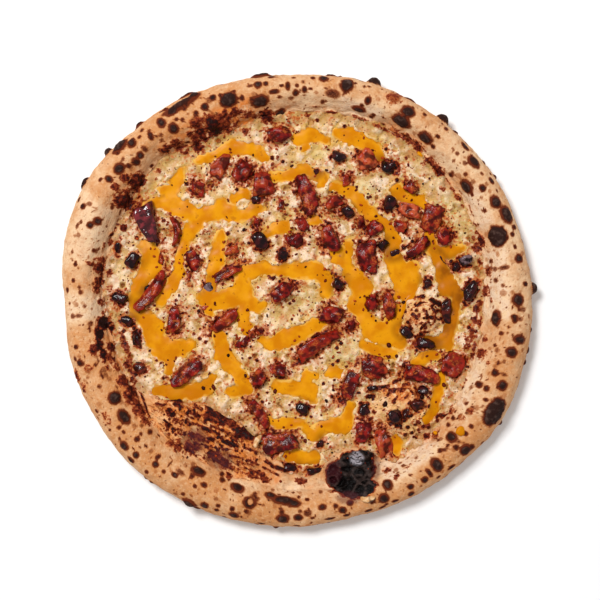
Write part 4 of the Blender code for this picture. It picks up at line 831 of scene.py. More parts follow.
SMALL_BACON = [
    (1.8, 48.3, 9.5, 6.6, 110, 3.4, 0, 0, .2), (71, 71.2, 9, 7.4, 150, 3.6, 0, 0, .1),
    (38.6, 49, 7.4, 5.8, 100, 3.2, 0, 0, 0), (64.2, 46.8, 9.5, 6.4, 170, 3.4, 0, 0, .3),
    (-65.5, 71.5, 9, 8, 80, 2.6, 0, 0, .2), (-43.5, 32, 8, 6, 10, 2.6, 0, 0, .3),
    (-35, -26.5, 7, 5, 30, 2.6, 0, 0, .1), (-31, -22, 5, 4, 100, 2.4, 0, 0, .3),
    (-39, -28.5, 4.5, 4, 60, 2.2, 0, 0, 0), (-26, -20.5, 6, 5, 20, 2.4, 0, 0, .2),
    (33, -16, 7, 5, 40, 2.6, 0, 0, .1), (30, 77, 7, 6, 100, 2.6, 0, 0, .3),
    (-28, 49, 7, 3, 95, 2, 0, 0, .2), (-12, 61, 6, 4, 80, 2, 0, 0, .1), (18, 16, 5, 4, 30, 1.8, 0, 0, .2),
    (-71, 16, 6, 3, 95, 1.8, 0, 0, .1), (-89, 26.5, 6, 4, 80, 2, 0, 0, 0),
    (-60, -6, 4, 4, 0, 1.8, 0, 0, .1),
]
TRUFFLE = [
    (-25.6, 38, 13, 10, 125, 5.6, 0, 0, 0), (30.4, 56, 9.6, 7, 150, 4.6, 0, 0, 0),
    (56.4, 85.6, 12, 7.6, 160, 4.6, 1.4, 0, 0), (24.4, 91.6, 9.4, 7.4, 150, 3.8, 0, 0, .3),
    (57, 61.2, 10, 8.8, 60, 4.8, 0, 0, 0), (-106.6, 24.8, 11, 9.2, 55, 5.4, 0, 0, 0),
    (-115.8, 1, 10, 8, 140, 4.8, 0, 0, 0), (-104.6, -25.2, 9.8, 5.2, 95, 4.2, 0, 0, 0),
    (67.8, -21, 9.6, 7.4, 130, 4.8, 0, 0, 0), (79.8, -27.8, 14, 8.4, 165, 4.8, 0, .2, 0),
    (108.8, 5.4, 16, 9.4, 60, 6.2, 0, 0, 0), (1, -69.8, 10, 8, 170, 4.6, 0, 0, 0),
]
SMALL_TRUFFLE = [
    (-10.8, 28.8, 7.6, 6, 60, 3.8, 0, 0, .2), (25.2, 10.4, 8, 7, 60, 4, 0, 0, .1),
    (53.2, 34.6, 8, 6, 50, 4.2, 0, 0, 0), (-110.6, -13.4, 8.6, 6.4, 170, 4.2, 0, 0, 0),
    (94, -7, 18, 7, 95, 3, 1, 0, -.2), (75, -67.5, 10, 7.5, 20, 3.6, 0, 0, -.2),
    (60.5, -75, 9, 8.5, 90, 5, 0, 0, .3), (41.5, -70, 8, 7, 90, 3.4, 0, 0, 0),
    (10, -109, 10.5, 5, 10, 3.2, 0, 0, 0), (-6, -107, 10, 5.5, 165, 3, 0, 0, 0),
    (106, 25, 9, 8, 20, 3.8, 0, 0, .8), (-58, 9, 9, 7, 20, 2.6, 0, 0, .8),
    (78, -57.5, 8, 6, 10, 3, 0, 0, .1), (61, 30, 7, 5, 10, 3, 0, 0, 0), (67.5, 34, 5, 2, 40, 2, 0, 0, .2),
    (92, 37.5, 5, 3.6, 20, 2.4, 0, 0, .1), (99.5, 21.5, 6, 5, 90, 2.8, 0, 0, 0),
    (92, 23, 14, 4.5, 115, 2, 0, 0, -.3), (82, 11, 7, 5, 90, 2.8, 0, 0, -.1),
    (67.5, -72.5, 6.5, 4.5, 60, 2.6, 0, 0, -.2), (-29, 64, 6, 6, 0, 2.2, 0, 0, .2),
    (10.5, 82, 4, 3.2, 30, 2.2, 0, 0, .1), (13, -92, 5, 3.5, 60, 2.4, 0, 0, 0),
    (46, -56.5, 5.5, 3.5, 10, 2.4, 0, 0, .1), (-117, 33, 7, 4, 90, 2.6, 0, 0, 0),
    (-102.5, -43.5, 9, 8, 30, 3.2, 0, 0, -.3), (-97.5, 7, 6, 4.2, 40, 2.8, 0, 0, .3),
    (-101, -4, 6, 5, 0, 2.6, 0, 0, .5),
]


pork_rows = BACON + SMALL_BACON
truffle_rows = TRUFFLE + SMALL_TRUFFLE
BOXINESS = 2.9              # 2 would make the pieces oval and much more would make them square


def closeness(flat, rows, reach):
    """1 at the side of the nearest piece, falling to 0 that many millimetres away."""
    nearest = np.full(len(flat), 99.0)
    for x, y, length, width, turn, *_ in rows:
        cosine, sine = math.cos(math.radians(turn)), math.sin(math.radians(turn))
        along_it = np.abs((flat[:, 0] - x) * cosine + (flat[:, 1] - y) * sine) / (0.5 * length)
        over_it = np.abs((flat[:, 1] - y) * cosine - (flat[:, 0] - x) * sine) / (0.5 * width)
        size = (along_it ** BOXINESS + over_it ** BOXINESS) ** (1 / BOXINESS)
        nearest = np.minimum(nearest, (size - 1.0) * 0.5 * min(length, width))
    return 1.0 - ease(0.0, reach, nearest)


# %% Cut the sheet of cream to the rim's foot
def cut_and_thicken(made, drop):
    """Deletes the marked corners of a flat sheet and raises a copy of the rest above it."""
    bpy.ops.object.mode_set(mode="EDIT")
    bpy.ops.mesh.select_mode(type="VERT")
    bpy.ops.mesh.select_all(action="DESELECT")
    bpy.ops.object.mode_set(mode="OBJECT")
    made.data.vertices.foreach_set("select", drop)
    bpy.ops.object.mode_set(mode="EDIT")
    bpy.ops.mesh.delete(type="VERT")
    bpy.ops.mesh.select_all(action="SELECT")
    bpy.ops.mesh.extrude_region_move(TRANSFORM_OT_translate={"value": (0.0, 0.0, 10.0 * MM)})
    bpy.ops.object.mode_set(mode="OBJECT")


def open_below(made):
    """Deletes the flat lower faces, so that one plain fan can close the underside."""
    bpy.ops.object.mode_set(mode="EDIT")
    bpy.ops.mesh.select_mode(type="FACE")
    bpy.ops.mesh.select_all(action="DESELECT")
    bpy.ops.object.mode_set(mode="OBJECT")
    middles = np.zeros(3 * len(made.data.polygons))
    made.data.polygons.foreach_get("center", middles)
    made.data.polygons.foreach_set("select", middles[2::3] < 0.001 * MM)
    bpy.ops.object.mode_set(mode="EDIT")
    bpy.ops.mesh.delete(type="FACE")
    bpy.ops.object.mode_set(mode="OBJECT")


CREAM_CELLS = 320
CREAM_SIDE = 256.0
TUCKED_IN = 2.2             # how far the cream runs into the dough
cream = sheet("cheese_cream", CREAM_CELLS, CREAM_CELLS, CREAM_SIDE)
cut_and_thicken(cream, inside_seam(corners(cream) / MM) + TUCKED_IN < 0.0)
open_below(cream)
print("cream corners", len(cream.data.vertices))

# %% Where the cream is charred, orange or greenish
# x, y, inner and outer reach, and strength of the places where yolk has soaked into the cream
GREENISH = [
    (100, 52, 8, 26, 1), (0, -5, 5, 30, .6), (27, -33, 4, 15, 1), (10, 94, 2, 11, 1), (41, 71, 3, 11, 1),
    (66, 74, 3, 13, .8),
]
# Orange patches: x, y, two half widths, inner and outer reach, strength
EMBERS = [(64, -58, 13, 8, .5, 1.2, 1), (71, -11, 7, 7, .4, 1.2, .6)]
# Grains that have charred: count, x, y, two half widths, least and greatest radius
CHARRED_GRAINS = [(55, 66, -72, 24, 18, .7, 1.7), (460, 0, 0, 116, 116, .5, 1.6)]
# Rings of grains on the first swollen bubble: radius and how many
RINGS = ((2.5, 4), (5.5, 7), (8.5, 10), (11.8, 13))
RIPPLE = 1.15               # its skin is rippled in rings too; this sets how close they lie
SHORE = 9.0                 # the cream is rougher and darker this near the rim
# The greenish strip along the foot of the upper rim is painted shade
GREEN_SHADE_SHORE = 14.0          # and greenish this near it, beyond the line y = GREEN_SHADE_FROM
GREEN_SHADE_FROM = 60.0
print("greenish", len(GREENISH), "orange", len(EMBERS))

# %% Lift the curds, the pores and the bubbles
flat = corners(cream) / MM
upper = flat[:, 2] > 5.0
flat[:, 2] = 0.0
depth = sauce_depth(flat)
wet = ease(-0.8, 0.4, depth)
bank = ease(-5.0, -0.6, depth) * (1.0 - wet)
lumps = 0.62 - cells(flat + 1.2 * clouds(flat, 3.0, 34.0)[:, None], 5.0, 11.0)
crumbs = 0.62 - cells(flat, 2.6, 5.0)
pores = cells(flat + 1.0 * clouds(flat, 2.4, 36.0)[:, None], 6.5, 21.0)
popped = ease(-0.15, 0.25, clouds(flat, 11.0, 37.0))
pit = popped * np.exp(-(pores / 0.28) ** 2)
brim = popped * np.exp(-((pores - 0.42) / 0.13) ** 2)
relief = 2.8 * lumps + 1.0 * crumbs + 0.8 * clouds(flat, 9.0, 33.0) - 0.3 + 1.1 * brim - 1.6 * pit
smooth_top = resting_height(flat)
high = smooth_top + relief * (1.0 - 0.75 * wet) + 0.7 * bank - 1.5 * wet
near_bacon = closeness(flat, pork_rows, 5.0)
near_truffle = closeness(flat, truffle_rows, 2.4)
high += 0.5 * closeness(flat, BACON + TRUFFLE, 2.0) * (1.0 - wet)
dome_x, dome_y = DOMES[0][:2]
bubble = np.zeros(len(flat))
for x, y, half_x, half_y, _ in DOMES[:2]:
    bubble = np.maximum(bubble, 1.0 - ease(0.75, 1.0, from_middle(flat, x, y, half_x, half_y)))
grains = ease(-0.1, 0.5, clouds(flat, 2.2, 12.0) + 0.6 * clouds(flat, 6.0, 13.0))
rings = 0.5 + 0.5 * np.sin(from_middle(flat, dome_x, dome_y) * RIPPLE + 3.0 * clouds(flat, 8.0, 14.0))
toasted = bubble * (0.35 + 0.65 * grains * rings)
print("toasted share", round(float((toasted > 0.3).mean()), 3))

# %% Grains that char, in rings on the first bubble and anywhere else
cream_dots = dots_in(CHARRED_GRAINS)
for ring, count in RINGS:
    for number in range(count):
        angle = math.radians(360.0 * number / count + draw.uniform(-9.0, 9.0))
        far_out = ring + draw.uniform(-0.8, 0.8)
        cream_dots.append((dome_x + far_out * math.sin(angle), dome_y + far_out * math.cos(angle),
                           draw.uniform(0.7, 1.6), draw.uniform(0.7, 1.6)))
print("charred grains", len(cream_dots))

# %% Give the cream its form and its colour fields
from_rim = inside_seam(flat)
rim_side = 1.0 - ease(0.0, SHORE, from_rim)
high += rim_side * (0.8 + 2.6 * clouds(flat, 9.0, 52.0) + 1.4 * clouds(flat, 4.0, 53.0))
# A greenish strip near the upper rim, which is painted shade; then the places where yolk has soaked in
green = 0.7 * (1.0 - ease(0.0, GREEN_SHADE_SHORE, from_rim)) * (flat[:, 1] > GREEN_SHADE_FROM)
for x, y, near, wide, strength in GREENISH:
    green = np.maximum(green, strength * (1.0 - ease(near, wide, from_middle(flat, x, y))))
ember = np.zeros(len(flat))
for x, y, half_x, half_y, near, wide, strength in EMBERS:
    away = from_middle(flat, x, y, half_x, half_y)
    ember = np.maximum(ember, strength * (1.0 - ease(near, wide, away)))
frayed = clouds(flat, 2.2, 3.0)
charred = clumps_on(flat, 0.5 * frayed + 0.3 * clouds(flat, 1.1, 8.0))
charred = np.maximum(charred, dots_on(flat, cream_dots) * (1.0 - wet))
charred = np.maximum(charred, strokes_on(flat, WRINKLES, 0.4 * frayed))
high += 0.8 * charred
flat[:, 2] = np.where(upper, high, FLOOR_TOP + 0.2)
place_corners(cream, flat)
# hollow is high in the hollows and popped pores, where the finish paints shade
store(cream, hollow=-lumps - 0.35 * crumbs + 0.7 * pit - 0.3 * brim, rust=near_bacon, dark=near_truffle,
      wet=ease(-6.0, 0.2, depth), bank=ease(-2.4, -1.0, depth) * (1.0 - wet), shore=rim_side,
      toast=np.maximum(toasted, 0.4 * rim_side * grains), green=green, ember=ember,
      scorch=SCORCH_SCALE * charred)
close_up(cream)
print("cream faces", len(cream.data.polygons), "height", round(float(high.max()), 2))

# %% [markdown]
# ## The yolk sauce
#
# The sauce is poured in swirls and runs into the hollows between the curds. Its surface is
# nearly level and thickens away from its edge. It is cut from a grid like the cream, and dips
# just below the cream at its border, so that the curds themselves draw its wavy outline.

# %% Pour the sauce
SAUCE_CELLS = 320
SAUCE_SIDE = 240.0
SAUCE_UNDER = 2.5           # the sauce runs this far under the cream round it,
RIM_UNDER = 1.0             # and this far into the dough
# Where the sauce is browner: x, y, how much narrower across, inner and outer reach, strength
BROWNER = [(96, -3, .6, 8, 30, 1), (-76, -58, 1, 10, 34, .7)]
sauce = sheet("yolk_sauce", SAUCE_CELLS, SAUCE_CELLS, SAUCE_SIDE)
flat = corners(sauce) / MM
cut_and_thicken(sauce, (sauce_depth(flat) < -SAUCE_UNDER) | (inside_seam(flat) < -RIM_UNDER))
flat = corners(sauce) / MM
upper = flat[:, 2] > 5.0
flat[:, 2] = 0.0
depth = sauce_depth(flat)
level = resting_height(flat)
surface = 0.25 - 2.0 * (1.0 - ease(-2.4, -1.1, depth)) + 0.2 * ease(0.0, 3.0, depth)
surface += 0.15 * clouds(flat, 6.0, 44.0)
brown = np.zeros(len(flat))
for x, y, narrower, near, wide, strength in BROWNER:
    away = np.hypot(flat[:, 0] - x, (flat[:, 1] - y) * narrower)
    brown = np.maximum(brown, strength * (1.0 - ease(near, wide, away)))
flat[:, 2] = np.where(upper, level + surface, level - 2.3)
place_corners(sauce, flat)
# The last field marks the sauce next to the truffle pieces, where the finish paints shade
store(sauce, inner=ease(-0.8, 2.2, depth), brown=brown,
      stain=closeness(flat, truffle_rows, 6.0))
close_up(sauce)
print("sauce faces", len(sauce.data.polygons))

# %% [markdown]
# ## Crisp pork and glossy truffle
#
# Every piece was cut by hand and shrank in the heat, so no two are alike. One cube is cut into
# a fine net, and each copy is rounded, stretched, bent and crumpled in its own way, then sunk
# a little into the cream. The copies are joined, so the pork is one mesh and the truffle one.
# The drops of yolk beside the pools and two loose scraps of skin are made the same way.

# %% One block, and what makes a piece of it
select_nothing()
bpy.ops.mesh.primitive_cube_add(size=2.0)
block = bpy.context.object
block.name = block.data.name = "block"
bpy.ops.object.mode_set(mode="EDIT")
bpy.ops.mesh.subdivide(number_cuts=14)
bpy.ops.object.mode_set(mode="OBJECT")
ways = corners(block)
ways /= np.linalg.norm(ways, axis=1, keepdims=True)
cream_tree = BVHTree.FromObject(cream, bpy.context.evaluated_depsgraph_get())


def surface_height(tree, x, y):
    """The height of a surface under a point of the drawing, in millimetres."""
    start = Vector(((x + SHIFT[0]) * MM, (y + SHIFT[1]) * MM, 0.05))
    hit = tree.ray_cast(start, Vector((0.0, 0.0, -1.0)))[0]
    return hit.z / MM if hit else 0.0


def turned(points, degrees):
    """Points turned about the vertical."""
    cosine, sine = math.cos(math.radians(degrees)), math.sin(math.radians(degrees))
    return np.stack([points[:, 0] * cosine - points[:, 1] * sine,
                     points[:, 0] * sine + points[:, 1] * cosine, points[:, 2]], axis=1)


CUTS = 9
SUNK = 1.6


def hand_cut(number, softness):
    """A chunk about two units wide with a few random flat cuts and soft edges between them."""
    cut = random.Random(700 + number)
    total = (np.abs(ways) ** softness).sum(axis=1)
    for _ in range(CUTS):
        facing = Vector((cut.gauss(0, 1), cut.gauss(0, 1), cut.gauss(0, 0.7))).normalized()
        total += (np.maximum(0.0, ways @ np.array(facing)) / cut.uniform(0.8, 1.15)) ** softness
    unit = ways / total[:, None] ** (1 / softness)
    seed = 3.7 * number
    return unit * (1.0 + 0.2 * clouds(unit, 1.1, seed) + 0.04 * clouds(unit, 0.4, seed))[:, None]


def shape_piece(number, row, crease, softness, ground):
    """A copy of the block in the form of one piece, set down on the highest of some surfaces."""
    x, y, length, width, turn, tall, bend, taper, tone = row
    seed = 3.7 * number
    unit = hand_cut(number, softness)
    size = np.array([0.5 * length, 0.5 * width, 0.5 * (tall + SUNK)])
    piece = unit * size
    lump = crease * clouds(piece, 3.8, seed) + 0.3 * crease * clouds(piece, 1.7, seed)
    piece += unit * lump[:, None]
    piece[:, 1] *= 1.0 - 0.5 * taper * unit[:, 0]
    piece[:, 1] += bend * (0.5 - unit[:, 0] ** 2)
    piece[:, 2] += 0.7 * clouds(piece * [1.0, 1.0, 0.0], 6.0, seed) * (unit[:, 2] > 0.0)
    level = max(surface_height(tree, x, y) for tree in ground)
    x, y = np.array([x, y]) / (1.0 + (level - BELLY) / EYE_FAR)
    placed = turned(piece, turn) + [x, y, level - SUNK + size[2]]
    select_nothing()
    block.select_set(True)
    bpy.context.view_layer.objects.active = block
    bpy.ops.object.duplicate()
    made = bpy.context.object
    place_corners(made, placed)
    store(made, tone=np.full(len(placed), tone), crease=lump / crease)
    return made


def join_all(name, made):
    """Joins pieces of one kind into one object."""
    select_nothing()
    for piece in made:
        piece.select_set(True)
    bpy.context.view_layer.objects.active = made[0]
    bpy.ops.object.join()
    joined = bpy.context.object
    joined.name = joined.data.name = name
    bpy.ops.object.shade_smooth()
    joined.select_set(False)
    print(name, "pieces", len(made), "faces", len(joined.data.polygons))
    return joined


# %% Make them all
DROPS = [
    (102.6, -84, 9, 7.6, 40, 2.6, 0, 0, 0), (86.6, -85, 4.4, 4, 0, 2.4, 0, 0, .5),
    (77, 93.5, 6.5, 3.4, 140, 1.2, 0, 0, .3),
]
FLAKES = [(43.4, -126.6, 9.6, 3.6, 4, 2.4, -1.6, 0, 0), (-27.6, -90.5, 9, 5, 68, 2.6, 0, .2, .6)]
crust_tree = BVHTree.FromObject(crust, bpy.context.evaluated_depsgraph_get())


def make_kind(name, rows, first, crease, softness, *ground):
    """All the pieces of one kind, as one object."""
    return join_all(name, [shape_piece(first + number, row, crease, softness, ground)
                           for number, row in enumerate(rows)])


pork = make_kind("pork_pieces", pork_rows, 0, 0.75, 10.0, cream_tree)
truffle = make_kind("truffle_pieces", truffle_rows, 100, 0.5, 4.5, cream_tree)
drops = make_kind("yolk_drops", DROPS, 200, 0.3, 2.6, cream_tree, crust_tree)
flakes = make_kind("skin_flakes", FLAKES, 210, 0.6, 6.0, cream_tree, crust_tree)
bpy.data.objects.remove(block, do_unlink=True)
whole = np.ones(len(drops.data.vertices))
store(drops, inner=whole, brown=0.2 * whole, stain=0.0 * whole)

# %% [markdown]
# ## Crumbs and ground pepper
#
# Red crumbs of pork and coarse black pepper lie all over. They are one small icosphere each,
# squashed and roughened in its own way, and set down where a ray from above meets the cream,
# the sauce or the rim.

# %% Scatter the small bits
# How many, least and greatest length, and how far from the middle they reach
FINE_PEPPER = (560, 0.5, 2.0, 116.0)
COARSE_PEPPER = (90, 1.8, 3.4, 110.0)
LOOSE_CRUMBS = (420, 0.6, 2.8, 117.0)
CRUMBS_PER_PIECE = 10
KEPT_ON_SAUCE = 0.25        # most of the bits that land on the sauce sink and aren't seen
select_nothing()
bpy.ops.mesh.primitive_ico_sphere_add(subdivisions=1, radius=1.0)
seed_shape = bpy.context.object
grain_points = corners(seed_shape)
grain_faces = np.array([tuple(face.vertices) for face in seed_shape.data.polygons])
bpy.data.objects.remove(seed_shape, do_unlink=True)
sauce_tree = BVHTree.FromObject(sauce, bpy.context.evaluated_depsgraph_get())
trees = [cream_tree, sauce_tree, crust_tree]


def scatter(name, rows):
    """One mesh of many bits; each row is x, y, length, width, turn and height."""
    points, faces, tones = [], [], []
    for number, (x, y, length, width, turn, tall) in enumerate(rows):
        seed = 1.7 * number
        bit = grain_points * (1.0 + 0.38 * clouds(grain_points, 0.9, seed))[:, None]
        bit = bit * [0.5 * length, 0.5 * width, 0.5 * tall]
        level = max(surface_height(tree, x, y) for tree in trees)
        faces.append(grain_faces + len(grain_points) * number)
        points.append(turned(bit, turn) + [x, y, level + 0.18 * tall])
        tones.append(np.full(len(bit), draw.uniform(-1.0, 1.0)))
    mesh = bpy.data.meshes.new(name)
    mesh.from_pydata(((np.concatenate(points) + SHIFT) * MM).tolist(), [], np.concatenate(faces).tolist())
    made = bpy.data.objects.new(name, mesh)
    bpy.context.scene.collection.objects.link(made)
    store(made, tone=np.concatenate(tones))
    for face in mesh.polygons:
        face.use_smooth = True
    print(name, "bits", len(rows), "faces", len(mesh.polygons))
    return made


def anywhere(count, small, large, reach):
    """Random places on the filling for that many bits."""
    rows = []
    for _ in range(count):
        far = reach * math.sqrt(draw.random())
        turn = draw.uniform(0.0, 2.0 * math.pi)
        size = small + (large - small) * draw.random() ** 2.2
        row = (far * math.sin(turn), far * math.cos(turn), size, size * draw.uniform(0.5, 0.9),
               draw.uniform(0, 180), size * draw.uniform(0.35, 0.6))
        on_sauce = sauce_depth(np.array([[row[0], row[1], 0.0]]))[0] > 0.0
        if draw.random() > on_sauce * (1.0 - KEPT_ON_SAUCE):
            rows.append(row)
    return rows


# %% Pepper and crumbs
# Dark bits large enough to have a place of their own: x, y, length, width
DARK_SPECKS = [
    (-113, 47, 4, 3.4), (57, -29, 4, 3.5), (57, -36.5, 3, 2.4), (62, -36, 3, 2.4), (54, -55.5, 5, 2),
    (45, -62, 4, 3), (54.5, -66.5, 4.5, 3.5), (92.5, -54.5, 3.5, 3), (76, -78, 3, 2.6), (78, -62, 4, 3),
    (90, -73.5, 3, 2.6), (3.5, -90, 3.5, 3), (-16, -58.5, 4, 3), (-55.5, -56, 5, 3), (-62, -56.5, 3, 2.6),
    (-35, -48.5, 3, 2.4), (-46, -35.5, 3, 2.4), (66.5, -1.5, 3.5, 2.6), (36, 70.5, 2.5, 2),
    (-5, 86, 3, 2.4), (-47, 53, 3, 1), (-36, 45, 3, 2.4), (70, 40, 3, 1.4),
]
pepper_rows = [(x, y, long, wide, draw.uniform(0, 180), 0.45 * wide) for x, y, long, wide in DARK_SPECKS]
pepper = scatter("pepper_bits", pepper_rows + anywhere(*FINE_PEPPER) + anywhere(*COARSE_PEPPER))
crumb_rows = []
for x, y, length, *_ in pork_rows:
    for _ in range(CRUMBS_PER_PIECE):
        turn = draw.uniform(0.0, 2.0 * math.pi)
        far = 0.42 * length + draw.uniform(0.0, 5.0)
        size = draw.uniform(0.7, 2.8)
        crumb_rows.append((x + far * math.sin(turn), y + far * math.cos(turn), size, 0.7 * size,
                           draw.uniform(0, 180), 0.5 * size))
crumbs_made = scatter("pork_crumbs", crumb_rows + anywhere(*LOOSE_CRUMBS))

# %% [markdown]
# ## Colours and finishes
#
# A baked surface is never one colour, so every finish starts from noise of several sizes. The
# numbers kept with the corners say where it is burnt, floury, deep or close to a piece of pork.
# Coordinates come from the object itself, so the grain stays put when it turns.

# %% Short names for the nodes used most
def srgb(red, green, blue):
    """A colour seen on screen, 0 to 255, as the linear numbers a shader takes."""
    shares = [channel / 255 for channel in (red, green, blue)]
    return tuple(share / 12.92 if share < 0.0404 else ((share + 0.055) / 1.055) ** 2.4
                 for share in shares) + (1.0,)


class Finish:
    """A node material built up step by step."""

    def __init__(self, name, **constants):
        self.made = bpy.data.materials.new(name)
        self.made.use_nodes = True
        self.tree = self.made.node_tree
        self.shader = self.tree.nodes["Principled BSDF"]
        self.place = self.tree.nodes.new("ShaderNodeTexCoord").outputs["Object"]
        for socket, value in constants.items():
            self.shader.inputs[socket.replace("_", " ")].default_value = value

    def put(self, socket, value):
        """Gives an input a number or another node's output."""
        if isinstance(value, bpy.types.NodeSocket):
            self.tree.links.new(value, socket)
        else:
            socket.default_value = value

    def feed(self, name, value):
        """Gives one of the shader's own inputs a number or another node's output."""
        self.put(self.shader.inputs[name], value)

    def math(self, operation, first, second=0.0):
        """One step of arithmetic."""
        node = self.tree.nodes.new("ShaderNodeMath")
        node.operation = operation
        self.put(node.inputs[0], first)
        self.put(node.inputs[1], second)
        return node.outputs[0]

    def times(self, first, second):
        """A product."""
        return self.math("MULTIPLY", first, second)

    def plus(self, first, second):
        """A sum."""
        return self.math("ADD", first, second)

    def minus(self, first, second):
        """A difference."""
        return self.math("SUBTRACT", first, second)

    def larger(self, first, second):
        """The larger of two numbers."""
        return self.math("MAXIMUM", first, second)

    def field(self, name):
        """The numbers kept with the corners."""
        node = self.tree.nodes.new("ShaderNodeAttribute")
        node.attribute_name = name
        return node.outputs["Fac"]

    def noise(self, size, detail=3.0, stretch=None):
        """Soft noise with clumps of about that many millimetres."""
        node = self.tree.nodes.new("ShaderNodeTexNoise")
        node.inputs["Scale"].default_value = 1000.0 / size
        node.inputs["Detail"].default_value = detail
        self.put(node.inputs["Vector"], stretch or self.place)
        return node.outputs["Fac"]

    def strands(self, turn, longer):
        """Object coordinates stretched along one direction of the plane."""
        node = self.tree.nodes.new("ShaderNodeMapping")
        node.vector_type = "TEXTURE"
        node.inputs["Rotation"].default_value = (0.0, 0.0, math.radians(turn))
        node.inputs["Scale"].default_value = (longer, 1.0, 1.0)
        self.put(node.inputs["Vector"], self.place)
        return node.outputs["Vector"]

    def cells(self, size):
        """Rounded cells of about that many millimetres: 0 in the middle of each."""
        node = self.tree.nodes.new("ShaderNodeTexVoronoi")
        node.inputs["Scale"].default_value = 1000.0 / size
        self.put(node.inputs["Vector"], self.place)
        return node.outputs["Distance"]

    def step(self, value, low, high):
        """0 below low, 1 above high, and smooth between."""
        node = self.tree.nodes.new("ShaderNodeMapRange")
        node.interpolation_type = "SMOOTHSTEP"
        self.put(node.inputs["Value"], value)
        node.inputs["From Min"].default_value = low
        node.inputs["From Max"].default_value = high
        return node.outputs["Result"]

    def layer(self, share, under, over):
        """One colour over another."""
        node = self.tree.nodes.new("ShaderNodeMix")
        node.data_type = "RGBA"
        self.put(node.inputs["Factor"], share)
        self.put(node.inputs[6], under)
        self.put(node.inputs[7], over)
        return node.outputs[2]

    def speckle(self, under, size, detail, low, high, strength, *shade):
        """Patches of a shade over a colour, where soft noise is strong."""
        patches = self.step(self.noise(size, detail), low, high)
        return self.layer(self.times(patches, strength), under, srgb(*shade))

    def stages(self, under, share, rows):
        """Colours that take over one after another as a number rises."""
        for low, high, strength, *shade in rows:
            under = self.layer(self.times(self.step(share, low, high), strength), under, srgb(*shade))
        return under

    def between(self, share, low, high):
        """A number that runs from low to high."""
        return self.plus(self.times(share, high - low), low)

    def relief(self, height, deep):
        """Fine relief that the mesh is too coarse for, in millimetres."""
        node = self.tree.nodes.new("ShaderNodeBump")
        node.inputs["Distance"].default_value = deep * MM
        node.inputs["Strength"].default_value = 1.0
        self.put(node.inputs["Height"], height)
        self.feed("Normal", node.outputs["Normal"])


def dress(made, finish, slot, *solids):
    """Gives a piece its finish, ties it to the body and hides the solids it stands for."""
    made.data.materials.clear()
    made.data.materials.append(finish.made)
    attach(made, "root")
    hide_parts(*solids)


# %% Burns that dough and cream share
# Red-brown, maroon, dark and black: from, to, strength, colour
BURN_STAGES = [(0.3, 0.5, 0.85, 176, 90, 42), (0.52, 0.7, 0.95, 120, 40, 16), (0.86, 1.08, 1.0, 70, 14, 6),
               (1.18, 1.4, 1.0, 34, 12, 9)]


def burn_in(look, colour, scorch):
    """Lays red-brown, maroon and black grains over a colour where the clumps are strong."""
    grain = look.plus(look.times(look.noise(2.4, 3.0), 1.9), look.times(look.noise(1.1, 2.0), 1.1))
    share = look.times(look.plus(scorch, look.minus(grain, 1.5)), look.step(scorch, 0.04, 0.3))
    return look.stages(colour, share, BURN_STAGES), share


# %% Dough: floury, tan, caramel, brown and charred
# Dust, mottles, blotches and freckles: size, detail, noise from and to, strength, colour
DOUGH_SPECKLES = [(1.6, 5.0, 0.5, 0.66, 0.3, 238, 204, 162), (1.9, 3.0, 0.5, 0.64, 0.3, 198, 128, 82),
                  (5.0, 3.0, 0.54, 0.72, 0.34, 186, 118, 68), (2.4, 2.0, 0.64, 0.74, 0.75, 150, 84, 42)]


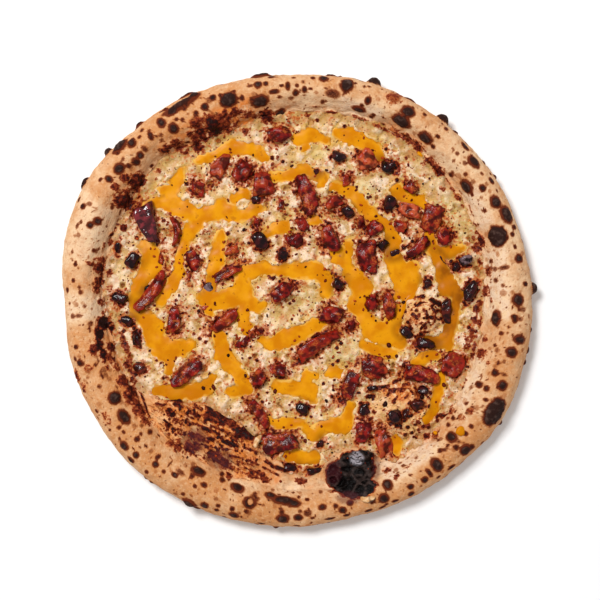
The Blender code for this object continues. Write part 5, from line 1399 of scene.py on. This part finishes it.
def dough():
    """Baked dough."""
    look = Finish("baked_dough", Specular_IOR_Level=0.12)
    broad = look.noise(16.0)
    middle = look.noise(4.0, 4.0)
    fine = look.noise(0.9, 4.0)
    burn, toast = look.field("burn"), look.field("toast")
    flour, caramel = look.field("flour"), look.field("caramel")
    flap, coal = look.field("flap"), look.field("coal")
    tan = look.minus(look.plus(broad, look.times(middle, 0.5)), look.times(flour, 0.45))
    colour = look.layer(look.step(tan, 0.3, 1.1), srgb(234, 196, 154), srgb(206, 141, 86))
    bare = look.times(look.step(flour, 0.35, 0.95), look.step(middle, 0.3, 0.6))
    colour = look.layer(look.times(bare, 0.6), colour, srgb(234, 206, 180))
    for speckle in DOUGH_SPECKLES:
        colour = look.speckle(colour, *speckle)
    strand = look.noise(1.8, 4.0, look.strands(-34.0, 3.2))
    orange = look.layer(look.step(look.noise(6.0, 3.0), 0.4, 0.62), srgb(216, 130, 58), srgb(232, 174, 118))
    colour = look.layer(look.times(flap, 0.85), colour, orange)
    pale = look.times(look.step(strand, 0.56, 0.64), flap)
    colour = look.layer(look.times(pale, 0.6), colour, srgb(240, 196, 142))
    woven = look.times(look.minus(1.0, look.step(strand, 0.36, 0.46)), flap)
    colour = look.layer(look.times(woven, 0.75), colour, srgb(142, 58, 20))
    scorch = look.math("DIVIDE", look.field("scorch"), SCORCH_SCALE)
    round_clumps = look.larger(caramel, look.times(scorch, 0.7))
    glaze = look.times(round_clumps, look.step(look.noise(3.2, 4.0), 0.36, 0.62))
    colour = look.layer(look.times(glaze, 0.9), colour, srgb(216, 118, 38))
    halo = look.plus(toast, look.times(fine, 0.35))
    colour = look.layer(look.times(look.step(halo, 0.3, 0.65), 0.7), colour, srgb(180, 104, 50))
    colour = look.layer(look.step(halo, 0.55, 1.0), colour, srgb(102, 38, 12))
    charred = look.plus(burn, look.times(fine, 0.4))
    # Grey patches inside the black spots are a painted sheen
    char_sheen = look.layer(look.step(look.noise(2.8, 3.0), 0.45, 0.7), srgb(42, 20, 14), srgb(78, 56, 48))
    black = look.layer(look.step(charred, 0.95, 1.2), srgb(62, 21, 8), char_sheen)
    colour = look.layer(look.step(charred, 0.66, 0.9), colour, black)
    stretched = look.times(look.minus(strand, 0.5), look.times(flap, 2.0))
    colour, share = burn_in(look, colour, look.plus(scorch, stretched))
    colour = look.layer(look.times(look.field("plum"), 0.6), colour, srgb(84, 32, 36))
    grain = look.noise(2.2, 5.0)
    pit = look.layer(look.step(look.field("crease"), -0.2, 0.8), srgb(10, 5, 4), srgb(62, 48, 44))
    pit = look.layer(look.times(look.field("plum"), 0.7), pit, srgb(66, 22, 28))
    jagged = look.step(look.plus(coal, look.times(grain, 0.5)), 0.75, 1.0)
    colour = look.layer(jagged, colour, pit)
    # A pale grey painted highlight on the glossy patch of the charcoal
    painted_highlight = look.times(look.field("glossy_highlight"), look.step(grain, 0.32, 0.52))
    colour = look.layer(look.times(painted_highlight, 0.9), colour, srgb(168, 160, 166))
    look.feed("Base Color", colour)
    shiny = look.larger(look.step(share, 1.2, 1.6), look.times(jagged, 0.8))
    shiny = look.larger(shiny, look.times(look.field("glossy_highlight"), 1.3))
    look.feed("Roughness", look.between(shiny, 0.72, 0.3))
    height = look.plus(fine, look.times(middle, 1.4))
    rough = look.times(grain, look.plus(look.math("MINIMUM", scorch, 1.0), jagged))
    look.relief(look.plus(height, look.plus(rough, woven)), 0.6)
    return look


# %% Cream: curds, toasted skin and the red fringe round the pork
# The same for the small specks of the cream
SPECK_STAGES = [(1.14, 1.34, 0.8, 188, 90, 30), (1.34, 1.47, 1.0, 118, 30, 8), (1.48, 1.6, 1.0, 48, 9, 4)]


def cheese():
    """Set cheese cream with its curds."""
    look = Finish("cheese_cream", Subsurface_Weight=0.08, Subsurface_Scale=0.0015, Specular_IOR_Level=0.1)
    broad = look.noise(12.0, 2.0)
    middle = look.noise(4.0, 3.0)
    fine = look.noise(1.3, 3.0)
    hollow = look.plus(look.field("hollow"), look.times(look.minus(fine, 0.5), 0.8))
    # Curds lighter, the hollows between them darker: painted shade in the hollows
    colour = look.layer(look.step(hollow, -0.45, 0.1), srgb(240, 212, 181), srgb(198, 156, 102))
    # The green field: yolk soaked into the cream, and painted shade along the foot of the upper rim
    colour = look.layer(look.times(look.field("green"), 0.45), colour, srgb(196, 174, 88))
    # An olive tint in the hollows: painted shade
    olive = look.times(look.step(hollow, 0.0, 0.3), look.step(look.noise(8.0), 0.36, 0.56))
    colour = look.layer(look.times(olive, 0.75), colour, srgb(178, 140, 70))
    wet = look.times(look.field("wet"), look.step(look.plus(hollow, middle), -0.05, 0.5))
    colour = look.layer(look.times(wet, 0.8), colour, srgb(212, 160, 58))
    colour = look.speckle(colour, 9.0, 2.0, 0.5, 0.64, 0.35, 224, 188, 114)
    shore = look.times(look.field("shore"), look.step(middle, 0.3, 0.56))
    colour = look.layer(look.times(shore, 0.75), colour, srgb(172, 120, 60))
    colour = look.speckle(colour, 7.0, 3.0, 0.5, 0.68, 0.5, 196, 128, 78)
    baked = look.times(look.step(look.field("toast"), 0.1, 0.5), 0.75)
    colour = look.layer(baked, colour, srgb(232, 178, 116))
    ember = look.times(look.field("ember"), look.step(look.noise(3.0, 3.0), 0.34, 0.56))
    colour = look.layer(look.times(ember, 0.85), colour, srgb(214, 118, 40))
    # Dark brown in the deepest hollows: painted shade
    deep = look.times(look.step(hollow, 0.16, 0.42), look.step(look.noise(5.0), 0.36, 0.52))
    colour = look.layer(look.times(deep, 0.9), colour, srgb(118, 58, 18))
    edge = look.times(look.field("bank"), look.step(look.noise(10.0, 2.0), 0.42, 0.56))
    colour = look.layer(look.times(edge, 0.55), colour, srgb(240, 208, 152))
    # Small dark dots for tiny holes in the cream: painted shade
    pore_shade = look.minus(1.0, look.step(look.cells(2.6), 0.14, 0.26))
    pore_shade = look.times(pore_shade, look.step(look.noise(6.0), 0.36, 0.5))
    colour = look.layer(look.times(pore_shade, 0.9), colour, srgb(112, 62, 18))
    grain = look.plus(look.times(look.noise(2.4, 4.0), 1.3), look.times(broad, 0.8))
    browned = look.larger(look.times(look.field("toast"), 0.45), look.times(look.field("rust"), 0.8))
    browned = look.larger(browned, look.times(look.field("dark"), 0.9))
    share = look.plus(grain, look.times(browned, 0.42))
    colour = look.stages(colour, share, SPECK_STAGES)
    stroke = look.plus(look.field("toast"), look.times(fine, 0.3))
    colour = look.layer(look.step(stroke, 1.0, 1.12), colour, srgb(84, 28, 12))
    wrinkle = look.math("ABSOLUTE", look.minus(look.noise(5.0, 2.0), 0.5))
    wrinkle = look.times(look.minus(1.0, look.step(wrinkle, 0.01, 0.035)), baked)
    colour = look.layer(look.times(wrinkle, 0.6), colour, srgb(150, 76, 34))
    colour = burn_in(look, colour, look.math("DIVIDE", look.field("scorch"), SCORCH_SCALE))[0]
    look.feed("Base Color", colour)
    look.feed("Roughness", look.between(middle, 0.22, 0.5))
    look.relief(look.plus(fine, look.times(middle, 1.4)), 0.45)
    return look


# %% Yolk sauce: deep gold in the middle, lighter at its edge
def yolk():
    """Egg yolk sauce."""
    look = Finish("yolk_sauce", Specular_IOR_Level=0.06)
    broad = look.noise(9.0, 2.0)
    fine = look.noise(1.2, 3.0)
    rich = look.layer(look.step(broad, 0.35, 0.65), srgb(202, 120, 2), srgb(222, 146, 8))
    colour = look.layer(look.times(look.field("brown"), 0.8), rich, srgb(184, 104, 4))
    inner = look.step(look.plus(look.field("inner"), look.times(fine, 0.3)), 0.1, 0.8)
    edge = look.layer(look.step(look.noise(12.0, 2.0), 0.46, 0.6), srgb(192, 122, 14), srgb(226, 172, 74))
    colour = look.layer(inner, edge, colour)
    # Darker brown next to the truffle pieces: painted shade
    shade_by_truffle = look.times(look.field("stain"), look.step(broad, 0.35, 0.6))
    colour = look.layer(look.times(shade_by_truffle, 0.75), colour, srgb(124, 60, 4))
    colour = look.speckle(colour, 4.5, 3.0, 0.62, 0.74, 0.5, 156, 80, 10)
    look.feed("Base Color", colour)
    look.feed("Roughness", look.between(broad, 0.2, 0.36))
    look.relief(look.noise(5.0, 2.0), 0.1)
    return look


# %% Pork and truffle
def cured_pork():
    """Crisp cured pork: dark red lean, a browned, grainy crust in places, a painted highlight on its raised
    lumps and painted shade in its creases.
    """
    look = Finish("cured_pork")
    middle = look.noise(3.4, 3.0)
    fine = look.noise(1.0, 4.0)
    tone = look.field("tone")
    crease = look.field("crease")
    colour = look.layer(look.step(middle, 0.36, 0.64), srgb(68, 3, 5), srgb(142, 23, 15))
    colour = look.layer(look.times(look.step(tone, 0.05, 0.4), 0.5), colour, srgb(164, 46, 18))
    salmon = look.layer(look.step(middle, 0.4, 0.6), srgb(196, 90, 52), srgb(160, 46, 22))
    colour = look.layer(look.step(tone, 0.4, 1.0), colour, salmon)
    # Lighter orange-red on the raised lumps: a painted highlight
    raised_highlight = look.times(look.step(crease, 0.3, 0.65), 0.5)
    colour = look.layer(raised_highlight, colour, srgb(198, 80, 32))
    baked = look.times(look.step(look.noise(7.0), 0.52, 0.62), look.step(fine, 0.42, 0.6))
    colour = look.layer(look.times(baked, 0.8), colour, srgb(178, 90, 34))
    purple = look.layer(look.step(middle, 0.4, 0.62), srgb(50, 6, 12), srgb(122, 34, 40))
    wine = look.step(look.times(tone, -1.0), 0.15, 0.9)
    colour = look.layer(wine, colour, purple)
    # Near-black in the creases between the lumps: painted shade
    folded = look.minus(1.0, look.step(crease, -0.4, 0.05))
    colour = look.layer(look.times(folded, 0.85), colour, srgb(50, 2, 3))
    look.feed("Base Color", colour)
    look.feed("Specular IOR Level", look.between(wine, 0.18, 0.45))
    gloss = look.times(look.between(middle, 0.08, 0.34), look.between(wine, 1.0, 0.35))
    look.feed("Roughness", gloss)
    grain = look.times(fine, look.between(wine, 0.7, 0.2))
    look.relief(look.plus(grain, middle), 0.3)
    return look


def dark_truffle():
    """Black truffle, glossy with oil."""
    look = Finish("dark_truffle", Specular_IOR_Level=0.22)
    middle = look.noise(3.0, 3.0)
    fine = look.noise(0.9, 4.0)
    tone = look.field("tone")
    colour = look.layer(look.step(middle, 0.4, 0.7), srgb(22, 3, 5), srgb(66, 12, 14))
    # Grey-lilac patches on some pieces: a painted sheen
    painted_sheen = look.times(look.step(tone, 0.2, 1.0), look.step(middle, 0.4, 0.6))
    colour = look.layer(painted_sheen, colour, srgb(122, 98, 102))
    singed = look.layer(look.step(middle, 0.4, 0.62), srgb(46, 8, 4), srgb(118, 38, 14))
    colour = look.layer(look.step(look.times(tone, -1.0), 0.05, 0.4), colour, singed)
    look.feed("Base Color", colour)
    look.feed("Roughness", look.between(middle, 0.04, 0.3))
    look.relief(look.plus(look.times(fine, 0.5), middle), 0.2)
    return look


def skin_flake():
    """Thin pale skin of a bubble with a singed edge."""
    look = Finish("skin_flake", Specular_IOR_Level=0.3, Roughness=0.5)
    fine = look.noise(1.2, 3.0)
    colour = look.layer(look.step(look.noise(3.0, 3.0), 0.4, 0.62), srgb(232, 194, 146), srgb(202, 142, 82))
    colour = look.layer(look.step(look.field("crease"), 0.2, 0.6), colour, srgb(66, 30, 18))
    look.feed("Base Color", colour)
    look.relief(fine, 0.3)
    return look


def small_bits(name, dark, light):
    """Crumbs and pepper: each bit has its own tone."""
    look = Finish(name, Specular_IOR_Level=0.12)
    fine = look.noise(0.6, 3.0)
    share = look.step(look.plus(look.field("tone"), look.times(fine, 1.2)), -0.4, 1.5)
    look.feed("Base Color", look.layer(share, dark, light))
    look.feed("Roughness", look.between(fine, 0.35, 0.7))
    return look


# %% Dress every piece
YOLK_SOLIDS = 8


def numbered(kind, count):
    """The names of the solids of one kind."""
    return ["%s_%02d" % (kind, number + 1) for number in range(count)]


dress(crust, dough(), "crust", "crust")
dress(cream, cheese(), "cheese", "cheese")
dress(sauce, yolk(), "yolk_sauce", *numbered("yolk", YOLK_SOLIDS))
dress(drops, yolk(), "yolk_sauce")
dress(flakes, skin_flake(), "crust")
dress(pork, cured_pork(), "bacon", *numbered("bacon", len(BACON)))
dress(truffle, dark_truffle(), "truffle", *numbered("truffle", len(TRUFFLE)))
dress(pepper, small_bits("ground_pepper", srgb(34, 4, 2), srgb(96, 26, 8)), "truffle")
dress(crumbs_made, small_bits("pork_crumbs", srgb(78, 10, 2), srgb(168, 62, 18)), "bacon")

# %% [markdown]
# ## The table, the light and the camera
#
# The pizza is seen from straight above on a pale table. One large soft light stands at the
# upper left, and a pale sky fills the shadows. The lens is long, so the rim isn't seen from
# the side.

# %% Table and light
select_nothing()
bpy.ops.mesh.primitive_plane_add(size=3.0, location=(0.0, 0.0, -0.0004))
table = bpy.context.object
table.name = "table"
paper = Finish("table_paper", Roughness=0.9)
paper.feed("Base Color", paper.layer(paper.noise(40.0), srgb(246, 246, 246), srgb(250, 250, 250)))
table.data.materials.append(paper.made)

world = bpy.data.worlds.new("sky")
bpy.context.scene.world = world
world.use_nodes = True
sky = world.node_tree.nodes["Background"]
sky.inputs["Color"].default_value = (1.0, 1.0, 1.0, 1.0)
sky.inputs["Strength"].default_value = 0.5


def soft_light(name, place, side, power):
    """A square light that looks at the middle of the pizza."""
    lamp = bpy.data.lights.new(name, "AREA")
    lamp.size = side
    lamp.energy = power
    made = bpy.data.objects.new(name, lamp)
    bpy.context.scene.collection.objects.link(made)
    made.location = place
    made.rotation_euler = (-Vector(place)).to_track_quat("-Z", "Y").to_euler()


soft_light("key", (-0.58, 0.68, 1.74), 0.5, 30.5)
bpy.context.scene.view_settings.view_transform = "Standard"

# %% Camera
eye = bpy.data.cameras.new("eye")
eye.lens = LENS
eye.sensor_width = SENSOR
camera = bpy.data.objects.new("eye", eye)
bpy.context.scene.collection.objects.link(camera)
camera.location = (SHIFT[0] * MM, SHIFT[1] * MM, (BELLY + EYE_FAR) * MM)
eye.clip_start = 0.01
bpy.context.scene.camera = camera
